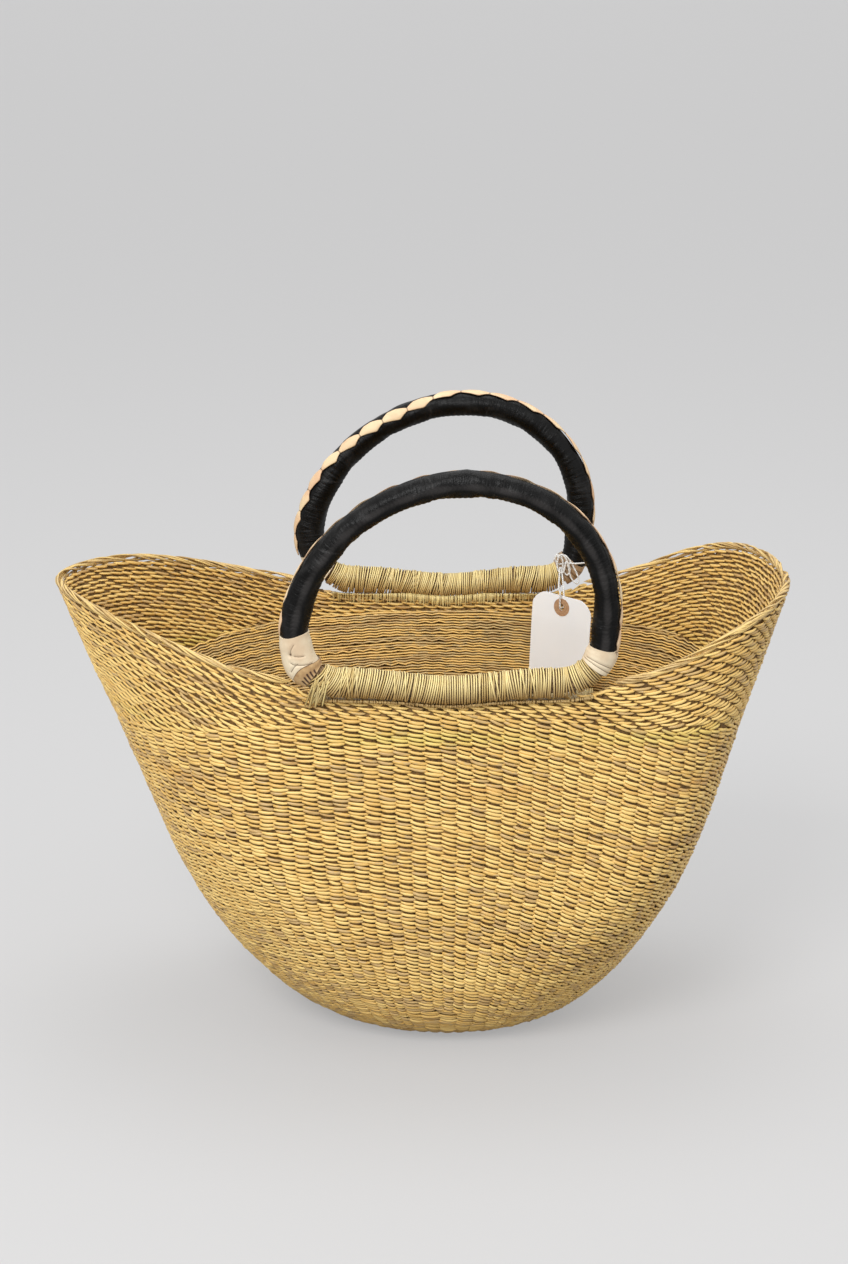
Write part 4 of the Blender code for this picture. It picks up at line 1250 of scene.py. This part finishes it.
for hoop, left_swell in ((front_hoop, 0.0), (back_hoop, 0.0009)):
    start = hoop.right_cuff[1] - lacing_under_cuff
    end = hoop.whole - hoop.left_cuff[1] + lacing_under_cuff
    line = np.linspace(start, end, lacing_knots)
    heights = hoop.at(line)[:, 2]
    pitch = mix(lacing_pitch_leg, lacing_pitch_top, smooth(heights / (hoop.shoulder + hoop.rise)))
    petals = np.r_[0.0, np.cumsum(np.diff(line) * (1.0 / pitch[1:] + 1.0 / pitch[:-1]) / 2.0)]
    leaves = round(petals[-1])
    widths = 1.0 + leaf_width_shake * random.standard_normal(leaves + 1)
    shifts = leaf_shift_shake * random.standard_normal(leaves + 1)

    def place(station, section):
        leaf = np.minimum(station // lacing_steps, leaves - 1).astype(int)
        part = station / lacing_steps - leaf
        length = np.interp(station / (lacing_steps * leaves) * petals[-1], petals, line)
        upper, lower = (np.interp(1.0 - part, *edge) for edge in (upper_edge, lower_edge))
        half = lacing_width / 2.0 * np.where(np.cos(section) > 0.0, upper, lower)
        half = half * mix(widths[leaf], widths[leaf + 1], part)
        arc = half * np.cos(section) + mix(shifts[leaf], shifts[leaf + 1], part)
        crown = 0.55 + 0.45 * np.sin(np.pi * part)
        lift = lacing_thickness * (0.35 + 0.65 * np.sin(section)) * crown
        # Painted shade towards the leaf's edges and at its necks.
        edge = np.abs(np.cos(section)) ** 3.0 * 0.9
        neck_shade = np.exp(-(np.minimum(part, 1.0 - part) / 0.05) ** 2) * 0.85
        share = (length - start) / (end - start)
        radius = hoop.leather_radius(length) + lacing_over_leather
        radius = radius + left_swell * smooth(2.6 * share - 1.4)
        turn = lacing_turn(hoop, share) + arc / radius
        return hoop.round(length, turn, radius + lift)[0], np.maximum(edge, neck_shade)

    lacing = wrapped_grid(hoop.name + "_lacing", lacing_steps * leaves, lacing_round, place, peach)
    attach(lacing, hoop.name + "_handle")
    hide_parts(hoop.name + "_handle_lacing")


# The cuffs
# Short sleeves, three cream and one tan, that cover the ends of the black leather. They are wrapped
# wet, so they keep soft creases, a turned edge over the black, and grooves next to the straw.
# Painted shade darkens their grooves, the dent of the front left one's hole and their turned ends.

cream = Finish("cream_leather", Roughness=0.58)
cream_painted_shade = cream.attribute("crease")
cream_stain = cream.noise(cream.place((60.0, 60.0, 60.0)), 1.0, 4.0)
cream_pores = cream.noise(cream.place((800.0, 800.0, 800.0)), 1.0, 2.0)
cream_folds = cream.noise(cream.own_map((7.0, 30.0, 1.0)), 1.0, 3.0)
cream_colour = cream.mix(cream_stain.over(0.40, 0.72), (0.78, 0.66, 0.47), (0.66, 0.50, 0.33))
cream.feed(Base_Color=cream.mix(cream_painted_shade.over(0.15, 0.95), cream_colour, (0.10, 0.055, 0.03)),
           Normal=cream.bump(cream_pores * 0.2 + cream_folds, 0.25, 0.0006))

tan = Finish("tan_leather", Roughness=0.6)
tan_painted_shade, tan_stain = tan.attribute("crease"), tan.noise(tan.own_map((26.0, 4.0, 1.0)), 1.0, 3.0)
tan_colour = tan.mix(tan_stain.over(0.35, 0.65), (0.33, 0.205, 0.11), (0.52, 0.37, 0.23))
tan.feed(Base_Color=tan.mix(tan_painted_shade.over(0.2, 0.95), tan_colour, (0.09, 0.045, 0.02)),
         Normal=tan.bump(tan_stain, 0.3, 0.0006))


def line_depth(along, around, drawn, width):
    """1 on a line that is drawn in millimetres along and around, and 0 away from it."""
    nearest = np.full(len(along), 1.0)
    points = np.array(drawn) / 1000.0
    for (a, b), (c, d) in zip(points, points[1:]):
        share = ((along - a) * (c - a) + (around - b) * (d - b)) / ((c - a) ** 2 + (d - b) ** 2)
        share = np.clip(share, 0.0, 1.0)
        nearest = np.minimum(nearest, np.hypot(along - a - share * (c - a), around - b - share * (d - b)))
    return np.exp(-(nearest / width) ** 2)


def folded_ends(station, stations):
    """The share of the way along a skin, and how far in its turned ends are folded, 0 to 1."""
    share = np.clip((station - 2.0) / (stations - 4.0), 0.0, 1.0)
    return share, np.clip(2.0 - np.minimum(station, stations - station), 0.0, 2.0) / 2.0


cuff_stations, cuff_around = 90, 150
groove_width, groove_shade_width, groove_depth = 0.0008, 0.00032, 0.00045
hole_radius, hole_dent_radius, hole_dent = 0.00085, 0.0012, 0.0011
dimple_radius, dimple_depth = 0.004, 0.0004
bend_height, bend_length, bend_swell = 0.090, 0.014, 0.0024
low_fold, high_fold = 0.0022, 0.0007

# Each line's points, and the hole, are millimetres up from the skin's lower end and round from the
# side that faces the camera. Start is how far from the middle of the bar the skin begins, arch how
# much higher its lower end is in front, and tilt and turn how unevenly its upper end is cut.
cuff_marks = {
    "front_left": {
        "lines": (((10.0, 5.2), (8.4, 3.4), (6.9, 0.0), (5.4, -3.0), (3.2, -7.0)),
                  ((14.2, 4.1), (17.0, 2.8), (20.0, 0.4)), ((13.2, 1.6), (12.2, -1.2), (11.4, -4.2)),
                  ((5.6, 7.5), (7.5, 4.0), (8.0, 1.5))),
        "hole": (14.2, 4.1), "tilt": 0.0012, "turn": 2.4, "arch": 0.0036, "start": 0.0866, "finish": cream},
    "front_right": {
        "lines": (((1.6, -12.0), (2.6, -3.0), (3.0, 5.0), (2.4, 12.0)),
                  ((4.2, -12.0), (5.0, -3.0), (5.2, 4.0), (4.6, 10.0)), ((13.0, -9.0), (11.0, -11.5))),
        "hole": None, "tilt": 0.0008, "turn": 0.5, "arch": 0.0, "start": 0.0894, "finish": cream},
    "back_left": {
        "lines": (((3.0, -12.0), (3.6, 12.0)), ((9.0, -10.0), (11.0, 8.0))),
        "hole": None, "tilt": 0.0010, "turn": 1.2, "arch": 0.0, "start": 0.0820, "finish": cream},
    "back_right": {
        "lines": (((2.6, -12.0), (3.4, 12.0)), ((5.4, -12.0), (6.4, 12.0)), ((8.6, -12.0), (8.8, 12.0))),
        "hole": None, "tilt": 0.0014, "turn": 2.0, "arch": 0.0, "start": 0.0800, "finish": tan}}

for hoop, over_leather in ((front_hoop, 0.0014), (back_hoop, 0.0010)):
    for side_name, cuff in (("left", hoop.left_cuff), ("right", hoop.right_cuff)):
        name = f"{hoop.name}_{side_name}_cuff"
        marks = cuff_marks[f"{hoop.name}_{side_name}"]
        bumps = 2.0 * np.pi * random.random(3)

        def place(station, turn):
            share, end_fold = folded_ends(station, cuff_stations)
            facing = turn_from(turn, -np.pi / 2.0)
            up = mix(marks["start"], cuff[1], share)
            bent = 1.0 - smooth((up - bend_height) / bend_length) if marks["arch"] else 0.0
            up = up + marks["arch"] * outer_share(facing) * (1.0 - share)
            up = up + marks["tilt"] * (np.cos(turn - marks["turn"]) + 0.5 * np.sin(2.0 * turn)) * share
            arc = facing * hoop.cuff_radius * (1.0 if side_name == "left" else -1.0)
            fullness = 1.0 + 0.012 * np.sin(3.0 * turn + bumps[0]) + 0.02 * np.sin(np.pi * share)
            radius = hoop.cuff_radius * fullness
            radius = radius + 0.00025 * np.sin(turn * 2.0 + share * 4.0 + bumps[1])
            radius = radius + bend_swell * bent * outer_share(turn)
            length = up if side_name == "right" else hoop.whole - up
            snug = hoop.leather_radius(length) + over_leather
            radius = mix(radius, np.minimum(snug, radius), smooth((share - 0.70) / 0.26))
            # The second value is painted shade: in the grooves, in the hole's dent and on the turned ends.
            depth = np.zeros_like(radius)
            along = up - marks["start"]
            for drawn in marks["lines"]:
                depth = np.maximum(depth, line_depth(along, arc, drawn, groove_shade_width))
                radius = radius - groove_depth * line_depth(along, arc, drawn, groove_width)
            if marks["hole"]:
                hole_up, hole_round = marks["hole"]
                away = np.hypot(along - hole_up / 1000.0, arc - hole_round / 1000.0)
                depth = np.maximum(depth, 1.3 * np.exp(-(away / hole_radius) ** 2))
                radius = radius - hole_dent * np.exp(-(away / hole_dent_radius) ** 2)
                radius = radius - dimple_depth * np.exp(-(away / dimple_radius) ** 2)
            radius = radius - mix(low_fold, high_fold, smooth(2.0 * share - 0.5)) * end_fold
            return hoop.round(length, turn, radius)[0], np.maximum(depth * 0.8, end_fold * 0.35)

        wrapped = wrapped_grid(name + "_skin", cuff_stations, cuff_around, place, marks["finish"])
        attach(wrapped, hoop.name + "_handle")
        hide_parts(name)

# The bare brown end of the front left cuff's skin, bent out over the roll, with its stitch holes
# Painted shade marks its stitch holes and darkens it along its far edge.
bark = Finish("brown_skin", Roughness=0.65)
bark_painted_shade, bark_stain = bark.attribute("crease"), bark.noise(bark.place((160.0, 160.0, 160.0)), 1.0, 3.0)
bark_colour = bark.mix(bark_stain.over(0.3, 0.7), (0.38, 0.215, 0.09), (0.60, 0.40, 0.19))
bark.feed(Base_Color=bark.mix(bark_painted_shade.over(0.25, 0.9), bark_colour, (0.055, 0.022, 0.010)),
          Normal=bark.bump(bark_stain, 0.3, 0.0006))
flap_start, flap_end, flap_arch = 0.0826, 0.0876, 0.0042
flap_low_radius, flap_high_radius, flap_swell = 0.0088, 0.0101, 0.0013
flap_stations, flap_around = 60, 120
stitch_holes = (((0.6, 6.5), (2.8, 5.6)), ((0.5, 4.0), (3.6, 2.8)), ((0.6, 1.4), (4.2, 0.2)),
                ((0.5, -1.2), (3.8, -2.2)), ((0.6, -4.0), (2.6, -4.6)))


def collar_place(station, turn):
    share, end_fold = folded_ends(station, flap_stations)
    facing = turn_from(turn, -np.pi / 2.0)
    up = mix(flap_start, flap_end + flap_arch * outer_share(facing), share)
    arc = facing * front_hoop.cuff_radius
    radius = mix(flap_low_radius, flap_high_radius, smooth(share * 1.3)) - 0.0016 * end_fold
    radius = radius + flap_swell * outer_share(turn)
    # Painted shade along the far edge and in the stitch holes.
    depth = 0.75 * np.exp(-((share - 1.0) / 0.06) ** 2)
    for drawn in stitch_holes:
        depth = np.maximum(depth, line_depth(up - flap_start, arc, drawn, groove_width))
    return front_hoop.round(front_hoop.whole - up, turn, radius)[0], depth


collar = wrapped_grid("front_left_cuff_flap", flap_stations, flap_around, collar_place, bark)
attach(collar, "front_handle")


# The tag
# A blank white card with clipped corners and a round brown patch on each face round its hole.
# It hangs by its thread and bows a little.

tag_width, tag_height, tag_thickness = 0.048, 0.096, 0.0006
tag_clip_across, tag_clip_down = 0.010, 0.0095
eyelet_below_top, eyelet_radius = 0.008, 0.0022
patch_radius, patch_thickness = 0.0062, 0.0004
eyelet_place = np.array([0.079, 0.1010, 0.2407])
knot_place = np.array([0.0785, 0.1190, 0.2665])
tag_turn, tag_drift = math.radians(-37), math.radians(4)
tag_bow, tag_twist = 0.0011, 0.0030
tag_clip_power = 1.25
card_cuts_down, card_cuts_across = 24, 8
tag_flat_top = 0.012


def tag_point(x, y, z):
    """From the card's own plane, with its hole at the origin, to where it hangs."""
    x, z = turned(x, z, -tag_drift)
    x, y = turned(x, y, tag_turn)
    return (x + eyelet_place[0], y + eyelet_place[1], z + eyelet_place[2])


def circle(radius, count):
    return [(radius * math.cos(2.0 * math.pi * step / count), radius * math.sin(2.0 * math.pi * step / count))
            for step in range(count)]


def card_piece(name, outlines, thickness, shift, finish, node):
    """A flat outline with a hole, filled, given its thickness, cut across for bending and hung."""
    curve = bpy.data.curves.new(name, "CURVE")
    curve.dimensions = "2D"
    curve.fill_mode = "BOTH"
    curve.extrude = thickness / 2.0
    for points in outlines:
        spline = curve.splines.new("POLY")
        spline.points.add(len(points) - 1)
        for index, (x, z) in enumerate(points):
            spline.points[index].co = (x, z, 0.0, 1.0)
        spline.use_cyclic_u = True
    guide = bpy.data.objects.new(name + "_guide", curve)
    bpy.context.scene.collection.objects.link(guide)
    mesh = bpy.data.meshes.new_from_object(guide.evaluated_get(bpy.context.evaluated_depsgraph_get()))
    bpy.data.objects.remove(guide)
    builder = bmesh.new()
    builder.from_mesh(mesh)
    bmesh.ops.remove_doubles(builder, verts=builder.verts, dist=1e-7)
    low = min(vertex.co.y for vertex in builder.verts)
    cuts = [((0.0, low * step / card_cuts_down, 0.0), (0.0, 1.0, 0.0)) for step in range(1, card_cuts_down)]
    cuts += [((tag_width * step / card_cuts_across, 0.0, 0.0), (1.0, 0.0, 0.0))
             for step in range(1 - card_cuts_across // 2, card_cuts_across // 2)]
    for point, normal in cuts:
        bmesh.ops.bisect_plane(builder, geom=builder.verts[:] + builder.edges[:] + builder.faces[:],
                               plane_co=point, plane_no=normal)
    for vertex in builder.verts:
        x, z, y = vertex.co
        down = min(max((-z - tag_flat_top) / tag_height, 0.0), 1.0)
        bow = tag_bow * math.sin(math.pi * down) - tag_twist * down * down * (x / tag_width)
        vertex.co = tag_point(x, -y + shift + bow, z)
    bmesh.ops.recalc_face_normals(builder, faces=builder.faces)
    builder.to_mesh(mesh)
    builder.free()
    mesh.name = name
    mesh.materials.clear()
    piece = add_piece(name, mesh, finish.material)
    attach(piece, "tag")
    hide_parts(node)


card_finish = Finish("white_card", Roughness=0.75)
card_fibre = card_finish.noise(card_finish.place((900.0, 900.0, 900.0)), 1.0, 3.0)
card_mottle = card_finish.noise(card_finish.place((40.0, 40.0, 40.0)), 1.0, 3.0)
card_colour = card_finish.mix(card_mottle.over(0.3, 0.7), (0.93, 0.95, 0.97), (0.95, 0.97, 0.99))
card_finish.feed(Base_Color=card_colour, Normal=card_finish.bump(card_fibre, 0.12, 0.0002))
patch_finish = Finish("brown_patch", Roughness=0.8)
patch_fibre = patch_finish.noise(patch_finish.place((1200.0, 1200.0, 1200.0)), 1.0, 3.0)
patch_colour = patch_finish.mix(patch_fibre.over(0.3, 0.7), (0.38, 0.205, 0.105), (0.54, 0.34, 0.19))
patch_finish.feed(Base_Color=patch_colour, Normal=patch_finish.bump(patch_fibre, 0.3, 0.0002))

corner_steps = 6
corner = []
for step in range(corner_steps + 1):
    angle = math.pi / 2.0 * step / corner_steps
    corner.append((tag_clip_across * (1.0 - math.sin(angle) ** tag_clip_power),
                   tag_clip_down * (1.0 - math.cos(angle) ** tag_clip_power)))
half = tag_width / 2.0
outline = [(-half, eyelet_below_top - tag_height), (half, eyelet_below_top - tag_height)]
outline += [(half - across, eyelet_below_top - down) for across, down in reversed(corner)]
outline += [(-half + across, eyelet_below_top - down) for across, down in corner]
hole = circle(eyelet_radius, 24)
card_piece("card", [outline, hole], tag_thickness, 0.0, card_finish, "tag_card")
patch_shift = (tag_thickness + patch_thickness) / 2.0
for name, sign in (("patch_front", -1.0), ("patch_back", 1.0)):
    card_piece(name, [circle(patch_radius, 40), hole], patch_thickness, sign * patch_shift, patch_finish,
               "tag_" + name)


# The thread
# White two-ply cotton. It is tied round the back handle's right leg in a slack bow, and drops from
# the knot through the card's hole and back up.

string_radius = 0.0006
string_step = 0.0006
string_slack, string_off_card = 0.0015, 0.0006
string_loop_height = 0.0175
loop_first_turn, loop_last_turn = math.radians(-115), math.radians(215)


def soft_line(points):
    """A smooth line through the points, with even steps."""
    points = np.array(points, float)
    padded = np.concatenate([2.0 * points[:1] - points[1:2], points, 2.0 * points[-1:] - points[-2:-1]])
    fine = []
    for before, first, second, after in zip(padded, padded[1:], padded[2:], padded[3:]):
        for share in np.arange(12) / 12.0:
            fine.append(0.5 * (2.0 * first + (second - before) * share
                               + (2.0 * before - 5.0 * first + 4.0 * second - after) * share ** 2
                               + (3.0 * first - before - 3.0 * second + after) * share ** 3))
    fine = np.array(fine + [points[-1]])
    run = run_along(fine)
    return read_line(np.linspace(0.0, run[-1], max(int(run[-1] / string_step), 8)), run, fine)


cotton = Finish("white_string", Roughness=0.85)
ply = cotton.node("ShaderNodeTexWave", {"wave_type": "BANDS", "bands_direction": "DIAGONAL"},
                  {"Vector": cotton.place((900.0, 900.0, 900.0)), "Scale": 0.35, "Distortion": 1.0})
fluff = cotton.noise(cotton.place((2500.0, 2500.0, 2500.0)), 1.0, 2.0)
# The darker bands are painted shade in the groove between the two plies.
cotton.feed(Base_Color=cotton.mix(ply.over(0.1, 0.7), (0.58, 0.57, 0.55), (0.84, 0.84, 0.82)),
            Normal=cotton.bump(ply + fluff * 0.4, 0.5, 0.0003))


def thread_piece(name, route):
    """The thread along this route: its piece, its middle line and its length."""
    line = soft_line(route)
    along = unit(np.gradient(line, axis=0))
    normals = unit(np.cross(along, np.cross((0.3, -0.9, 0.31), along)))
    radii = np.full(len(line), string_radius)
    piece = straw_mesh(name, [Strand(line, radii, normals, {})], cotton, 1.0)
    return piece, line, float(run_along(line)[-1])


leg_height = back_hoop.outline[:, 1]
right_leg = (back_hoop.outline[:, 0] > 0.05) & (back_hoop.lengths < back_hoop.whole / 2.0)
leg_x = float(np.interp(string_loop_height, leg_height[right_leg], back_hoop.outline[right_leg, 0]))
leg = back_hoop.stand(np.array([leg_x, 0.0, string_loop_height])) + (0.0, mouth_half_depth, hinge_height)
loop_radius = back_hoop.leg_radius + lacing_thickness + string_slack + string_radius


def on_loop(turn, rise):
    return leg + (loop_radius * math.cos(turn), loop_radius * math.sin(turn), rise)


route = [on_loop(turn, -0.0014) for turn in np.linspace(math.radians(60), loop_first_turn, 9)]
route += [knot_place + (0.0022, -0.0002, 0.0006), knot_place + (-0.0015, -0.0012, 0.0004)]
route += [knot_place + offset for offset in (
    (-0.0040, -0.0020, 0.0040), (-0.0022, -0.0026, 0.0072), (0.0012, -0.0030, 0.0040),
    (0.0020, -0.0030, -0.0035), (0.0044, -0.0034, -0.0068), (0.0064, -0.0036, -0.0030),
    (0.0030, -0.0044, 0.0058), (0.0000, -0.0046, 0.0078), (-0.0024, -0.0042, 0.0030),
    (-0.0016, -0.0044, -0.0034), (0.0018, -0.0050, -0.0044), (0.0040, -0.0048, 0.0030),
    (0.0070, -0.0040, -0.0080), (0.0112, -0.0036, -0.0128), (0.0124, -0.0024, -0.0092),
    (0.0076, -0.0022, 0.0010), (0.0030, -0.0016, 0.0066))]
route += [on_loop(turn, 0.0016) for turn in np.linspace(loop_last_turn, math.radians(72), 8)]
upper, upper_line, upper_run = thread_piece("thread_bow", route)
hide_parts("tag_string")
tuple(mix(leg, knot_place, 0.35))
tuple(mix(leg, knot_place, 0.9))
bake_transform(upper)

front = np.array([math.sin(tag_turn), -math.cos(tag_turn), 0.0])
near = tag_thickness / 2.0 + patch_thickness + string_off_card + 2.0 * string_radius
route = [knot_place + (-0.0004, -0.0030, -0.0010),
         mix(knot_place, eyelet_place, 0.55) + front * 0.0016 + (-0.0008, 0.0, 0.0010),
         eyelet_place + front * near + (0.0, 0.0, eyelet_below_top + 4.0 * string_radius),
         eyelet_place + front * near + (0.0, 0.0, 0.0035),
         eyelet_place + front * near * 0.8,
         eyelet_place - front * near * 0.8,
         eyelet_place - front * near + (0.0, 0.0, eyelet_radius * 2.0),
         mix(eyelet_place, knot_place, 0.45) - front * 0.0012 + (0.0006, 0.0, 0.0020),
         knot_place + (0.0006, -0.0016, -0.0014)]
lower, lower_line, lower_run = thread_piece("thread_drop", route)
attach(lower, "tag")
